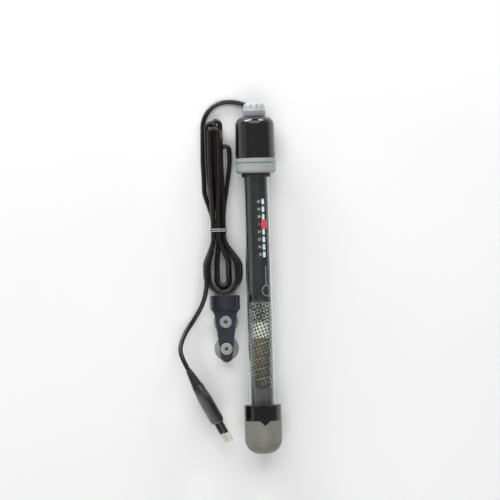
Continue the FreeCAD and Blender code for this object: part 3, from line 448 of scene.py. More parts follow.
@dataclass(frozen=True)
class BandedFinish(Finish):
    """A finish that changes along the heater: one colour above a line and others below it."""

    # Painted shade on the ceramic core: darker below its crown, darkest at its foot.
    below: Shade = (140, 126, 108)
    far_below: Shade = (84, 76, 68)
    change_at: Pair = (-40.6, -42.2)
    far_at: float = -84.0

    def tinted(self, bench: NodeBench, shelf: EffectShelf) -> Socket:
        """Return the colour at each place along the heater, drifting in tone.

        Args:
            bench: The material's bench.
            shelf: Where the shared effects come from.

        Returns:
            The colour.
        """
        along = bench.fill(bench.add("ShaderNodeSeparateXYZ"), {0: bench.place()}).outputs[1]
        start, end, far = (at * MM for at in (*self.change_at, self.far_at))
        lower = bench.mixed(bench.spread(along, (end, far)), shade(self.below),
                            shade(self.far_below))
        tone = bench.mixed(bench.spread(along, (start, end)), shade(self.colour), lower)
        return self.drifting(bench, shelf, tone)


@dataclass(frozen=True)
class ClearFinish:
    """Clear glass or plastic that lets the lamps through to what it holds."""

    name: str
    colour: Shade
    roughness: float = 0.03
    index: float = 1.47
    smears: float = 0.06
    ripple_scale: float = 90.0
    ripple_strength: float = 0.15
    ripple_depth: float = 0.04

    def made(self, shelf: EffectShelf) -> bpy.types.Material:
        """Build the material: a Principled glass that is no bar to the lamps' light.

        Args:
            shelf: Where the shared effects come from.

        Returns:
            The finished material.
        """
        material, bench, shader = fresh_material(self.name)
        smears = shelf.place(bench, Effect.FINE_SCUFFS, Roughness=self.roughness,
                             Amount=self.smears)
        ripple = shelf.place(bench, Effect.MOULDED_GRAIN, Scale=self.ripple_scale)["Height"]
        bench.fill(shader, {
            "Base Color": shade(self.colour), "Transmission Weight": 1.0, "IOR": self.index,
            "Roughness": smears["Roughness"],
            "Normal": bench.bump(ripple, self.ripple_strength, self.ripple_depth),
        })
        through = bench.fill(bench.add("ShaderNodeBsdfTransparent"),
                             {"Color": shade(self.colour)})
        shadow = bench.add("ShaderNodeLightPath").outputs["Is Shadow Ray"]
        mix = bench.fill(bench.add("ShaderNodeMixShader"),
                         {0: shadow, 1: shader.outputs[0], 2: through.outputs[0]})
        bench.fill(bench.tree.nodes["Material Output"], {"Surface": mix.outputs[0]})
        return material


class Surface(Enum):
    """Every finish on the heater, its cord, its plug and its holder."""

    HEAD_SHELL = Finish("head_shell_black", (22, 20, 19), (0.16, 0.24), drift=0.1, coat=0.6,
                        dust=0.015)
    DIAL_PLASTIC = BandedFinish("dial_translucent", (182, 185, 188), (0.2, 0.32), drift=0.05,
                                grain_depth=0.006,
                                below=(142, 145, 152), far_below=(136, 139, 146),
                                change_at=(152.3, 151.3), far_at=146.0)
    COLLAR = Finish("collar_grey", (154, 160, 157), (0.4, 0.52), drift=0.06, grain_depth=0.01)
    SEAL = Finish("seal_rubber_black", (38, 38, 38), (0.5, 0.65), grain_size=0.25)
    BUNG = Finish("bung_rubber", (52, 50, 48), (0.55, 0.7), grain_size=0.3)
    GLAND = Finish("gland_rubber", (34, 33, 32), (0.45, 0.6), grain_size=0.25)
    GLASS = ClearFinish("tube_clear_glass", (244, 248, 247))
    SLEEVE = Finish("sleeve_printed_black", (10, 11, 14), (0.36, 0.48), drift=0.08, dust=0.0)
    BACKING = Finish("backing_white", (228, 232, 232), (0.5, 0.6), drift=0.03, dust=0.0)
    PRINT = Finish("printing_light", (184, 188, 192), (0.5, 0.6), drift=0.05, dust=0.0)
    PRINT_FAINT = Finish("printing_faint", (158, 160, 164), (0.5, 0.6), drift=0.08, dust=0.0)
    PRINT_RED = Finish("printing_red", (196, 60, 70), (0.5, 0.6), drift=0.05, dust=0.0)
    POINTER = Finish("pointer_red", (205, 62, 84), (0.3, 0.42), drift=0.05, dust=0.0)
    LAMP_WINDOW = Finish("lamp_window_smoked", (40, 34, 33), (0.12, 0.2), transmission=0.2)
    LAMINATE = Finish("chassis_laminate", (150, 124, 92), (0.5, 0.65), drift=0.15)
    BEARING = TurnedFinish("bearing_brass", (196, 160, 98), (0.3, 0.42), metallic=1.0)
    SPINDLE = TurnedFinish("spindle_brass", (200, 166, 104), (0.24, 0.36), metallic=1.0)
    SPRING_STEEL = Finish("spring_steel", (170, 170, 168), (0.26, 0.38), metallic=1.0)
    BLADE = Finish("bimetal_blade", (178, 168, 150), (0.3, 0.42), metallic=1.0)
    CONTACT = Finish("contact_silver", (205, 204, 200), (0.22, 0.34), metallic=1.0)
    MAGNET = Finish("magnet_sintered", (72, 70, 68), (0.45, 0.6), drift=0.15)
    TERMINAL = Finish("terminal_plastic", (58, 54, 50), (0.4, 0.55))
    FUSE = Finish("fuse_body", (196, 192, 184), drift=0.08)
    RESISTOR = Finish("resistor_body", (176, 148, 112), (0.4, 0.5))
    LAMP_GLASS = ClearFinish("pilot_lamp_glass", (236, 150, 110), 0.05)
    DISC = Finish("disc_mica", (44, 43, 41), (0.5, 0.65), drift=0.15)
    LEAD_WIRE = Finish("lead_wire_tinned", (226, 226, 216), (0.3, 0.42), metallic=0.1)
    # Cream ceramic at the crown; below it, painted shade that deepens towards the foot.
    CERAMIC = BandedFinish("core_ceramic_painted_shade", (234, 226, 213), (0.6, 0.75), drift=0.14,
                           drift_size=5.0, grain_depth=0.03)
    COIL = Finish("coil_ribbon", (158, 148, 130), metallic=0.1, drift=0.2, drift_size=5.0)
    FILM = ClearFinish("element_film_clear", (246, 247, 245), 0.05, 1.12)
    FILM_DOTS = Finish("film_dots_black", (18, 17, 17), (0.4, 0.55), drift=0.1, dust=0.0)
    PAD = Finish("end_pad_fibre", (46, 44, 42), (0.75, 0.9), sheen=0.3, grain_depth=0.08)
    END_RING = Finish("end_ring_gloss", (16, 15, 16), (0.1, 0.2), drift=0.08, coat=0.5,
                      dust=0.015)
    BUMPER = Finish("bumper_rubber_grey", (121, 120, 113), (0.42, 0.58), drift=0.08,
                    grain_size=0.5, grain_depth=0.02)
    CORD = Finish("cord_jacket_black", (22, 19, 18), (0.24, 0.36), drift=0.1, grain_size=0.5,
                  grain_depth=0.015, dust=0.02)
    CORE_COPPER = Finish("core_copper", (184, 116, 84), (0.3, 0.45), metallic=1.0)
    TIE = Finish("tie_band_smoked", (58, 60, 60), (0.3, 0.42), drift=0.06, transmission=0.1)
    TIE_RIB = Finish("tie_rib_pale", (196, 199, 196), (0.34, 0.46), drift=0.06)
    PLUG_SHELL = Finish("plug_shell_black", (20, 16, 16), (0.26, 0.4), drift=0.14, dust=0.02)
    BOOT = Finish("boot_rubber_black", (32, 30, 29), (0.4, 0.55), grain_size=0.3)
    PIN_NICKEL = Finish("pin_nickel", (230, 223, 210), (0.2, 0.3), metallic=0.35, drift=0.05)
    PIN_SLEEVE = Finish("pin_sleeve_black", (36, 27, 29), (0.35, 0.45))
    HOLDER = Finish("holder_blue_black", (40, 42, 53), (0.3, 0.44), drift=0.1)
    CUP = Finish("cup_rubber_pale", (146, 152, 148), (0.3, 0.42), drift=0.06)


class PaintShop:
    """Makes each finish once and puts it on nodes and pieces."""

    def __init__(self) -> None:
        """Start with no material made."""
        self.shelf = EffectShelf()
        self.made: dict[Surface, bpy.types.Material] = {}

    def material(self, surface: Surface) -> bpy.types.Material:
        """Give a surface's material, made when it is first asked for.

        Args:
            surface: The surface.

        Returns:
            Its material.
        """
        if surface not in self.made:
            self.made[surface] = surface.value.made(self.shelf)
        return self.made[surface]

    def dress(self, nodes: dict[str, Piece], wear: dict[str, Surface]) -> None:
        """Put finishes on the solids that stay in view.

        Args:
            nodes: The frame's solids by name.
            wear: The finish of each named solid.
        """
        for name, surface in wear.items():
            for place in nodes[name].material_slots:
                place.link = "OBJECT"
                place.material = self.material(surface)
            LOG.info("%s: dressed as %s", name, surface.value.name)

    def fit(self, piece: Piece, surface: Surface, slot: Slot, *nodes: str,
            body: Body = Body.HEATER) -> Piece:
        """Put a finish on a piece of the scene's own, and say what it is.

        Args:
            piece: The piece.
            surface: Its finish.
            slot: The record's material slot meant for it, not used.
            *nodes: The solids that it stands for.
            body: The body that it rides on.

        Returns:
            The same piece.
        """
        piece.data.materials.clear()
        piece.data.materials.append(self.material(surface))
        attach(piece, body.value)
        if nodes:
            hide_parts(*nodes)
        LOG.info("%s: made, rides on %s", piece.name, body.value)
        return piece


# Mesh work


def link(piece: Piece) -> Piece:
    """Put an object in the scene and return it."""
    bpy.context.scene.collection.objects.link(piece)
    return piece


def piece_from(name: str, mesh: Mesh, crease: float = 32.0) -> Piece:
    """Turn a mesh in millimetres into a smooth object in metres, with its edges kept crisp.

    Args:
        name: The piece's name.
        mesh: The mesh, which is freed here.
        crease: Edges that turn by more degrees than this stay sharp.

    Returns:
        The new object.
    """
    bmesh.ops.scale(mesh, vec=(MM, MM, MM), verts=mesh.verts)
    bmesh.ops.recalc_face_normals(mesh, faces=mesh.faces)
    for face in mesh.faces:
        face.smooth = True
    for edge in mesh.edges:
        if len(edge.link_faces) == 2:
            edge.smooth = edge.calc_face_angle(0.0) < math.radians(crease)
    data = bpy.data.meshes.new(name)
    mesh.to_mesh(data)
    mesh.free()
    return link(bpy.data.objects.new(name, data))


def steps_round(count: int) -> list[float]:
    """Return the angles of a full turn in equal steps."""
    return [2 * math.pi * step / count for step in range(count)]


def turned(outline: Iterable[Pair], around: int = AROUND,
           held: Callable[[float, float, float], float] | None = None) -> Mesh:
    """Turn an outline about the Y axis.

    Args:
        outline: Radius and height of each point, from one end to the other.
        around: How many steps a full turn has.
        held: Takes radius, height and angle and gives the radius there, for forms that
            aren't round.

    Returns:
        The turned mesh, closed at its ends.
    """
    mesh = bmesh.new()
    rings = []
    for radius, height in outline:
        if radius < TINY:
            rings.append([mesh.verts.new((0.0, height, 0.0))])
            continue
        ring = []
        for angle in steps_round(around):
            reach = held(radius, height, angle) if held else radius
            ring.append(mesh.verts.new((reach * math.sin(angle), height,
                                        reach * math.cos(angle))))
        rings.append(ring)
    join_rings(mesh, rings)
    for ring in (rings[0], rings[-1]):
        if len(ring) > 2:
            mesh.faces.new(ring)
    return mesh


def join_rings(mesh: Mesh, rings: list[Ring]) -> None:
    """Fill the bands between rings that follow each other, or single points.

    Args:
        mesh: The mesh that holds them.
        rings: The rings, each the same number of points or one.
    """
    for lower, upper in zip(rings, rings[1:]):
        count = max(len(lower), len(upper))
        for step in range(count):
            after = (step + 1) % count
            corners = [lower[step % len(lower)], lower[after % len(lower)],
                       upper[after % len(upper)], upper[step % len(upper)]]
            kept = [c for place, c in enumerate(corners) if c not in corners[:place]]
            if len(kept) > 2:
                mesh.faces.new(kept)


# The studio


@dataclass
class StudioSet:
    """The floor, the lamps and the camera."""

    aim: Pair = (-6.9, 33.4)
    height: float = 2200.0
    frame_width: float = 424.8
    sensor_width: float = 36.0
    turn: float = -0.0294
    clip_end: float = 100.0
    floor_half: float = 6000.0
    floor_shade: Shade = (240, 240, 239)
    floor_drift: int = 3
    floor_cloud: float = 6.0
    world_tint: tuple[float, float, float, float] = (0.96, 0.98, 1.0, 1.0)
    world_level: float = 0.24
    lamp_aim: Point = (0.0, 30.0, 0.0)
    lamps: dict[str, tuple[Point, Pair, float]] = field(default_factory=lambda: {
        "far_box": ((0.0, 1316.0, 1532.0), (2200.0, 1300.0), 20.0),
        "near_box": ((0.0, -1256.0, 1532.0), (2200.0, 1300.0), 20.0),
        "low_left": ((-690.0, 1340.0, 345.0), (800.0, 420.0), 17.0),
        "low_right": ((680.0, 1400.0, 345.0), (440.0, 420.0), 9.5),
        "side_glow": ((-1600.0, 0.0, 500.0), (900.0, 900.0), 1.4),
    })

    def build(self) -> None:
        """Set up everything that isn't the heater."""
        self.place_camera()
        self.lay_floor()
        self.light_world()
        for name, (at, size, power) in self.lamps.items():
            self.hang_lamp(name, Vector(at), size, power)
        bpy.context.scene.view_settings.view_transform = "Standard"
        LOG.info("studio: camera, floor and %d lamps", len(self.lamps))

    def place_camera(self) -> None:
        """Look straight down from high above."""
        data = bpy.data.cameras.new("camera")
        data.sensor_width = self.sensor_width
        data.lens = self.sensor_width * self.height / self.frame_width
        data.clip_end = self.clip_end
        camera = link(bpy.data.objects.new("camera", data))
        camera.location = Vector((*self.aim, self.height)) * MM
        camera.rotation_euler = (0.0, 0.0, self.turn)
        bpy.context.scene.camera = camera

    def lay_floor(self) -> None:
        """Lay one wide pale floor."""
        mesh = bmesh.new()
        half = self.floor_half
        corners = [(-half, -half), (half, -half), (half, half), (-half, half)]
        mesh.faces.new([mesh.verts.new((x, y, FLOOR)) for x, y in corners])
        floor = piece_from("studio_floor", mesh)
        material, bench, shader = fresh_material("floor_paper")
        tone = bench.spread(bench.noise(self.floor_cloud), EffectShelf.CLOUD_SPAN)
        warm = tuple(part - self.floor_drift for part in self.floor_shade)
        bench.fill(shader, {
            "Roughness": 0.9, "Specular IOR Level": 0.2,
            "Base Color": bench.mixed(tone, shade(self.floor_shade), shade(warm))})
        floor.data.materials.append(material)

    def light_world(self) -> None:
        """Give the room an even pale light."""
        world = bpy.data.worlds.new("room")
        world.use_nodes = True
        NodeBench(world.node_tree).fill(world.node_tree.nodes["Background"], {
            "Color": self.world_tint, "Strength": self.world_level})
        bpy.context.scene.world = world

    def hang_lamp(self, name: str, at: Vector, size: Pair, power: float) -> None:
        """Hang one flat lamp that faces the heater.

        Args:
            name: The lamp's name.
            at: Where it hangs.
            size: Its width and height.
            power: Its power in watts.
        """
        data = bpy.data.lights.new(name, "AREA")
        data.shape = "RECTANGLE"
        data.size, data.size_y = (side * MM for side in size)
        data.energy = power
        lamp = link(bpy.data.objects.new(name, data))
        lamp.location = at * MM
        lamp.rotation_euler = (Vector(self.lamp_aim) - at).to_track_quat("-Z", "Y").to_euler()


class SubAssembly:
    """A part of the heater: the pieces that it makes and the solids that it dresses."""

    wear: dict[str, Surface] = {}

    def build(self, shop: PaintShop, nodes: dict[str, Piece]) -> list[Piece]:
        """Make the pieces and dress the solids.

        Args:
            shop: Where the finishes come from.
            nodes: The frame's solids by name.

        Returns:
            The pieces, then the solids.
        """
        pieces = self.make(shop)
        shop.dress(nodes, self.wear)
        return pieces + [nodes[name] for name in self.wear]

    def make(self, shop: PaintShop) -> list[Piece]:
        """Make the pieces of the scene's own, here none."""
        return []


# The cord and its plug


@dataclass
class HankRoute:
    """The cord's folded hank: five loops in four layers, drawn in at the tie."""

    KNEE_SHARE = 6
    TURN_STEPS = 6
    HALF_STEP = 15

    laid: float = -13.85
    lead_in: Point = (-44.6, 88.0, -13.85)
    tie_at: float = 51.0
    middle: float = -33.2
    waist_half: float = 5.0
    step: float = 4.45
    layer: float = 4.35
    lift: float = 0.9
    slots: tuple[tuple[int, int], ...] = (
        (-1, 0), (1, 0), (0, 0), (0, 1), (1, 1), (-1, 1), (1, 2), (-1, 2), (0, 2), (0, 3), (-1, 3))
    fold_r: float = 3.8
    folds: tuple[Pair, ...] = (
        (-34.0, 135.5), (-25.8, 118.5), (-33.1, 140.2), (-37.4, 138.2), (-35.0, 133.5))
    bend_top: float = 60.0
    climb_foot: tuple[Pair, ...] = ((5.0, 0.0), (8.7, 0.5), (12.5, 1.0))
    climb_top: tuple[Pair, ...] = ((5.0, 0.0), (8.7, 0.5), (12.5, 1.0), (16.5, 1.0))
    bend_foot: float = 28.0
    foot_middle: float = -30.5
    foot_outer: Pair = (15.0, 13.4)
    foot_shrink: float = 1.5
    foot_inner_r: Pair = (5.5, 4.6)
    foot_inner_at: float = 8.5
    tail: Pair = (-44.5, 14.0)

    def __post_init__(self) -> None:
        """Start where the lead comes in, on the way down."""
        self.way = -1.0
        self.here = Vector(self.lead_in)
        self.knots: list[Vector] = [self.here.copy()]

    def points(self) -> list[Point]:
        """Lay the hank, from the lead's side to the tail's.

        Returns:
            Its control points.
        """
        above, below = self.tie_at + self.waist_half, self.tie_at - self.waist_half
        inner = 0
        for number in range(0, len(self.slots) - 1, 2):
            slot, layer = self.slots[number]
            next_slot, next_layer = self.slots[number + 1]
            self.through_tie(number, above, below)
            radius = self.foot_outer[0] - layer * self.foot_shrink
            foot_y = self.foot_outer[1] - layer * self.foot_shrink
            side = 1 if next_slot > slot else -1
            if next_slot == slot:
                radius, foot_y, side = self.foot_inner_r[inner], self.foot_inner_at, 1
                inner += 1
            bend_end = below - self.bend_foot
            self.bend_to(self.foot_middle - side * radius, bend_end, self.height(layer))
            self.turn_back(self.foot_middle + side * radius, foot_y)
            self.climb_to(self.height(next_layer), self.climb_foot)
            self.here.y = max(self.here.y, bend_end)
            self.through_tie(number + 1, below, above)
            self.over_the_top(number)
        self.through_tie(len(self.slots) - 1, above, below)
        self.bend_to(*self.tail, self.height(self.slots[-1][1]))
        self.knots.append(self.here.copy())
        return [tuple(knot) for knot in self.knots]

    def height(self, layer: int) -> float:
        """Return the height of a layer's centre line."""
        return self.laid + layer * self.layer

    def bend_to(self, x: float, y: float, z: float) -> None:
        """Add an S to a point, by its two knees and its middle, evenly spaced.

        Args:
            x: The point across the heater.
            y: The point along it.
            z: The point's height.
        """
        goal = Vector((x, y, z))
        knee = Vector((0.0, (goal.y - self.here.y) / self.KNEE_SHARE, 0.0))
        self.knots += [self.here + knee, (self.here + goal) / 2, goal - knee]
        self.here = goal

    def climb_to(self, z: float, steps: tuple[Pair, ...]) -> None:
        """Climb to the next layer on the run after a turn, if there is a next one.

        Args:
            z: The height to reach.
            steps: How far along each point lies, and its share of the rise.
        """
        rise = z - self.here.z
        if abs(rise) < TINY:
            return
        start = self.here.copy()
        for along, share in steps:
            self.here = start + Vector((0.0, self.way * along, share * rise))
            self.knots.append(self.here.copy())

    def through_tie(self, number: int, start: float, end: float) -> None:
        """Bend in to a strand's place at the tie and pass straight through it.

        Args:
            number: Which strand.
            start: Where along the heater it reaches the tie.
            end: Where it leaves the tie.
        """
        slot, layer = self.slots[number]
        x, z = self.middle + slot * self.step, self.height(layer) + self.lift
        self.bend_to(x, start, z)
        self.knots.append(Vector((x, self.tie_at, z)))
        self.here = Vector((x, end, z))

    def turn_back(self, x: float, y: float) -> None:
        """Add a half turn in its layer, from a level y to another x.

        Args:
            x: Where the turn ends across.
            y: The level at which it starts and ends.
        """
        radius = (x - self.here.x) / 2
        centre = Vector((self.here.x + radius, y, self.here.z))
        half_step = math.radians(self.HALF_STEP)
        reach = radius / math.cos(half_step)
        before = Vector((0.0, -self.way * abs(radius) * math.tan(half_step), 0.0))
        self.knots.append(centre - Vector((radius, 0.0, 0.0)) + before)
        for step in range(self.TURN_STEPS):
            angle = math.radians(self.HALF_STEP * (1 + 2 * step))
            across, along = -reach * math.cos(angle), abs(reach) * math.sin(angle) * self.way
            self.knots.append(centre + Vector((across, along, 0.0)))
        self.here = centre + Vector((radius, 0.0, 0.0))
        self.knots.append(self.here + before)
        self.way = -self.way

    def over_the_top(self, number: int) -> None:
        """Go up to a fold and come back down, climbing if the next strand lies higher.

        Args:
            number: The strand that came before the one going up.
        """
        up_slot, up_layer = self.slots[number + 1]
        down_slot, down_layer = self.slots[number + 2]
        middle, fold_y = self.folds[number // 2]
        side = 1 if down_slot > up_slot else -1
        bend_end = self.tie_at + self.waist_half + self.bend_top
        self.bend_to(middle - side * self.fold_r, bend_end, self.height(up_layer))
        self.turn_back(middle + side * self.fold_r, fold_y)
        self.climb_to(self.height(down_layer), self.climb_top)
        self.here.y = bend_end


@dataclass
class SupplyCord(SubAssembly):
    """The mains cord from the gland, through its hank, to the plug's boot."""

    radius: float = 1.95
    length: float = 1750.0
    bevel_steps: int = 5
    curve_steps: int = 8
    lead: tuple[Point, ...] = (
        (1.2, 147.0, -12.85), (-0.654, 152.706, -12.85), (-5.2, 156.9, -13.2),
        (-16.5, 160.3, -13.6), (-28.6, 160.3, -13.85), (-38.5, 154.5, -13.85),
        (-44.2, 144.5, -13.85), (-44.5, 131.5, -13.85), (-44.9, 118.5, -13.85),
        (-45.1, 107.5, -13.85), (-44.6, 97.5, -13.85))
    tail: tuple[Point, ...] = (
        (-44.5, 3.0, -0.8), (-48.0, -11.0, -7.4), (-56.0, -24.5, -13.2), (-64.6, -36.0, -11.0),
        (-69.2, -48.0, -3.6), (-67.007, -57.757, 1.421), (-61.843, -67.47, 1.421))

    def make(self, shop: PaintShop) -> list[Piece]:
        """Lay the cord as one smooth curve.

        Args:
            shop: Where its finish comes from.

        Returns:
            The cord alone.
        """
        route = [*self.lead, *HankRoute().points(), *self.tail]
        data = bpy.data.curves.new("supply_cord", "CURVE")
        data.dimensions = "3D"
        data.bevel_depth = self.radius * MM
        data.bevel_resolution = self.bevel_steps
        data.resolution_u = self.curve_steps
        data.use_fill_caps = True
        spline = data.splines.new("NURBS")
        spline.points.add(len(route) - 1)
        for point, at in zip(spline.points, route):
            point.co = (*(part * MM for part in at), 1.0)
        spline.order_u = 3
        spline.use_endpoint_u = True
        cord = link(bpy.data.objects.new("supply_cord", data))
        LOG.info("supply_cord: %d control points", len(route))
        return [shop.fit(cord, Surface.CORD, Slot.CORD_RUBBER, "supply_lead", "cord_hank",
                         "cord_tail")]

    def declare(self, cord: Piece, on_it: list[Piece]) -> None:
        """Take the cord and the pieces that sit on it, and do nothing with them.

        Args:
            cord: The cord, not used.
            on_it: The plug's pieces and the band's, not used.
        """


@dataclass
class Plug(SubAssembly):
    """The flat two pin plug with its ribbed boot."""

    wear = {"plug_pins": Surface.PIN_NICKEL, "pin_sleeves": Surface.PIN_SLEEVE}

    face: Point = (-37.9, -112.5, 1.4208)
    out: Point = (0.469472, -0.882948, 0.0)
    length: float = 36.0
    roll: float = 14.0
    half_wide: float = 17.7
    half_thin: float = 5.2
    fullness: float = 1.7
    face_insets: tuple[Pair, ...] = (
        (0.0, 3.0), (0.25, 2.0), (0.9, 1.1), (2.0, 0.35), (3.4, 0.0), (12.0, 0.0))
    taper: float = 13.0
    taper_steps: int = 10
    rear_half: Pair = (6.3, 5.0)
    rear_edge: Pair = (0.6, 0.7)
    boot_shown: float = 15.0
    boot_inside: float = 1.0
    boot_base: float = 4.8
    boot_tip: float = 2.7
    boot_bore: float = 1.5
    boot_around: int = 48
    boot_end: tuple[Pair, ...] = ((0.1, 0.5), (-0.3, 0.0))
    ribs: int = 6
    plain_tip: float = 0.5
    first_groove: float = 1.2
    groove: tuple[Pair, ...] = ((0.0, 0.0), (0.2, 0.7), (0.8, 0.7), (1.0, 0.0))

    def make(self, shop: PaintShop) -> list[Piece]:
        """Make the plug's body and its boot."""
        return [shop.fit(self.body(), Surface.PLUG_SHELL, Slot.BLACK_PLASTIC, "plug_body"),
                shop.fit(self.boot(), Surface.BOOT, Slot.CORD_RUBBER, "plug_boot")]

    def body(self) -> Piece:
        """Make the plug's flat body, full in its middle and drawn in to the boot.

        Returns:
            The body.
        """
        face, out, roll = Vector(self.face), Vector(self.out), math.radians(self.roll)
        across = Vector((-out.y, out.x, 0.0))
        wide = Vector((0.0, 0.0, math.cos(roll))) + across * math.sin(roll)
        thin = wide.cross(out)
        mesh = bmesh.new()
        rings = [[mesh.verts.new(face)]]
        for back, half_wide, half_thin in self.sections():
            ring = []
            for angle in steps_round(AROUND):
                to_side, to_face = (
                    math.copysign(abs(part) ** (2 / self.fullness), part) * half
                    for part, half in ((math.cos(angle), half_wide), (math.sin(angle), half_thin)))
                ring.append(mesh.verts.new(face - out * back + wide * to_side + thin * to_face))
            rings.append(ring)
        rings.append([mesh.verts.new(face - out * self.length)])
        join_rings(mesh, rings)
        return piece_from("plug_body_moulded", mesh, SOFT_CREASE)

    def sections(self) -> list[Point]:
        """Set out the body's sections, from its face to its rear.

        Returns:
            Each section's distance behind the face and its two half widths.
        """
        found = [(back, self.half_wide - inset, self.half_thin - inset)
                 for back, inset in self.face_insets]
        edge, inset = self.rear_edge
        for step in range(self.taper_steps):
            share = step / (self.taper_steps - 1)
            ease = share * share * (3 - 2 * share)
            found.append((self.length - self.taper + share * (self.taper - edge),
                          self.half_wide + (self.rear_half[0] - self.half_wide) * ease,
                          self.half_thin + (self.rear_half[1] - self.half_thin) * ease))
        found.append((self.length, self.rear_half[0] - inset, self.rear_half[1] - inset))
        return found

    def boot(self) -> Piece:
        """Make the tapered boot with its ring grooves, which points away from the face.

        Returns:
            The boot.
        """
        base, tip, shown = self.boot_base, self.boot_tip, self.boot_shown
        pitch = shown / (self.ribs + self.plain_tip)
        outline = [(self.boot_bore, -self.boot_inside), (base, -self.boot_inside)]
        for rib in range(self.ribs):
            for along, dip in self.groove:
                at = self.first_groove + rib * pitch + along
                outline.append((base + (tip - base) * (at / shown) - dip, at))
        outline += [(tip + swell, shown - short) for swell, short in self.boot_end]
        outline.append((self.boot_bore, shown))
        mesh = turned(outline, self.boot_around)
        out = Vector(self.out)
        up = Vector((0.0, 0.0, 1.0))
        sides = (up.cross(out).normalized(), -out.normalized(), up)
        turn = Matrix(sides).transposed().to_4x4()
        rear = Vector(self.face) - out * self.length
        bmesh.ops.transform(mesh, matrix=Matrix.Translation(rear) @ turn, verts=mesh.verts)
        return piece_from("plug_boot_ribbed", mesh)


@dataclass
class CordBand(SubAssembly):
    """The thin band that holds the hank, with two pale ribs round it."""

    CORNERS = ((1, 1, 0), (-1, 1, 90), (-1, -1, 180), (1, -1, 270))
    CORNER_STEPS = 6

    middle: float = -33.2
    at: float = 51.0
    half: float = 6.6
    low: float = -15.1
    high: float = 2.25
    corner: float = 1.95
    outline: tuple[Pair, ...] = (
        (0.0, -1.5), (0.35, -1.5), (0.45, -1.4), (0.45, 1.4), (0.35, 1.5), (0.0, 1.5))
    rib_at: float = 0.85
    rib: tuple[Pair, ...] = ((0.4, -0.3), (0.7, -0.18), (0.7, 0.18), (0.4, 0.3))

    def make(self, shop: PaintShop) -> list[Piece]:
        """Make the band and its ribs.

        Args:
            shop: Where the finishes come from.

        Returns:
            The band, then its ribs.
        """
        band = self.loop("cord_band", self.outline)
        pieces = [shop.fit(band, Surface.TIE, Slot.TIE_PLASTIC, "cord_tie")]
        for name, at in (("cord_band_rib_upper", self.rib_at),
                         ("cord_band_rib_lower", -self.rib_at)):
            rib = self.loop(name, [(off, at + along) for off, along in self.rib])
            pieces.append(shop.fit(rib, Surface.TIE_RIB, Slot.TIE_PLASTIC))
        return pieces

    def loop(self, name: str, outline: Iterable[Pair]) -> Piece:
        """Sweep an outline round the strands.

        Args:
            name: The piece's name.
            outline: Distance off the strands and place along the cord of each corner.

        Returns:
            The closed loop.
        """
        mesh = bmesh.new()
        rings = []
        for off, along in outline:
            ring = []
            for side_x, side_z, start in self.CORNERS:
                x = self.middle + side_x * (self.half - self.corner)
                z = self.high - self.corner if side_z > 0 else self.low + self.corner
                for step in range(self.CORNER_STEPS + 1):
                    angle = math.radians(start + 90 * step / self.CORNER_STEPS)
                    reach = self.corner + off
                    ring.append(mesh.verts.new((x + reach * math.cos(angle), self.at + along,
                                                z + reach * math.sin(angle))))
            rings.append(ring)
        join_rings(mesh, [*rings, rings[0]])
        return piece_from(name, mesh)


# The heater from the dial down


@dataclass
class DialHead(SubAssembly):
    """The dial, the head cap with its gland, and the lock collar."""

    wear = {
        "dial_spindle": Surface.SPINDLE, "spindle_clip": Surface.SPRING_STEEL,
        "spindle_oring": Surface.SEAL, "head_cap": Surface.HEAD_SHELL,
        "cord_gland": Surface.GLAND, "supply_cores": Surface.CORE_COPPER,
        "tube_bung": Surface.BUNG, "lock_collar": Surface.COLLAR,
    }

    knob_foot: float = 146.6
    knob_top: float = 158.4
    foot_radius: float = 9.6
    foot_edge: tuple[Pair, ...] = ((0.4, 0.0), (0.1, 0.1), (0.0, 0.4))
    crown_radius: float = 9.35
    ledge: Pair = (151.3, 152.3)
    ledge_edge: float = 0.1
    rounding: float = 4.1
    rounding_steps: int = 8
    lobes: int = 10
    lobe_steps: int = 24
    flute_depth: float = 1.55
    flute_half: float = 11.0
    bore: Pair = (2.1, 156.2)
    dish: tuple[Pair, ...] = ((5.1, 0.0), (4.8, 0.15), (4.5, 0.5), (0.0, 0.5))

    def make(self, shop: PaintShop) -> list[Piece]:
        """Make the knob."""
        return [shop.fit(self.knob(), Surface.DIAL_PLASTIC, Slot.KNOB_PLASTIC, "dial_knob",
                         body=Body.DIAL)]

    def knob(self) -> Piece:
        """Make the knob: a smooth foot, a ledge and a lobed crown with a rounded top.

        Returns:
            The knob.
        """
        foot, top = self.knob_foot, self.knob_top
        wide, crown = self.foot_radius, self.crown_radius
        outline = [(0.0, self.bore[1]), self.bore, (self.bore[0], foot)]
        outline += [(wide - inset, foot + rise) for inset, rise in self.foot_edge]
        outline += [(wide, self.ledge[0] - self.ledge_edge),
                    (wide - self.ledge_edge, self.ledge[0]), (crown, self.ledge[1])]
        for step in range(self.rounding_steps):
            angle = math.pi / 2 * step / (self.rounding_steps - 1)
            outline.append((crown - self.rounding * (1 - math.cos(angle)),
                            top - self.rounding * (1 - math.sin(angle))))
        outline += [(radius, top - depth) for radius, depth in self.dish]
        mesh = turned(outline, self.lobe_steps * self.lobes, self.fluted)
        return piece_from("dial_knob_lobed", mesh, SOFT_CREASE)

    def fluted(self, radius: float, height: float, angle: float) -> float:
        """Draw the crown in where a flute runs.

        Args:
            radius: The radius of the plain round form.
            height: Place along the heater.
            angle: Angle from the top towards +X.

        Returns:
            The radius there.
        """
        pitch = 360 / self.lobes
        off = (math.degrees(angle) - pitch / 2) % pitch
        off = min(off, pitch - off)
        if height < self.ledge[1] or off >= self.flute_half:
            return radius
        share = (1 + math.cos(math.pi * off / self.flute_half)) / 2
        return min(radius, self.crown_radius - self.flute_depth * share)


class GlassTube(SubAssembly):
    """The clear tube and the seal at its mouth."""

    wear = {"glass_tube": Surface.GLASS, "tube_seal": Surface.SEAL}


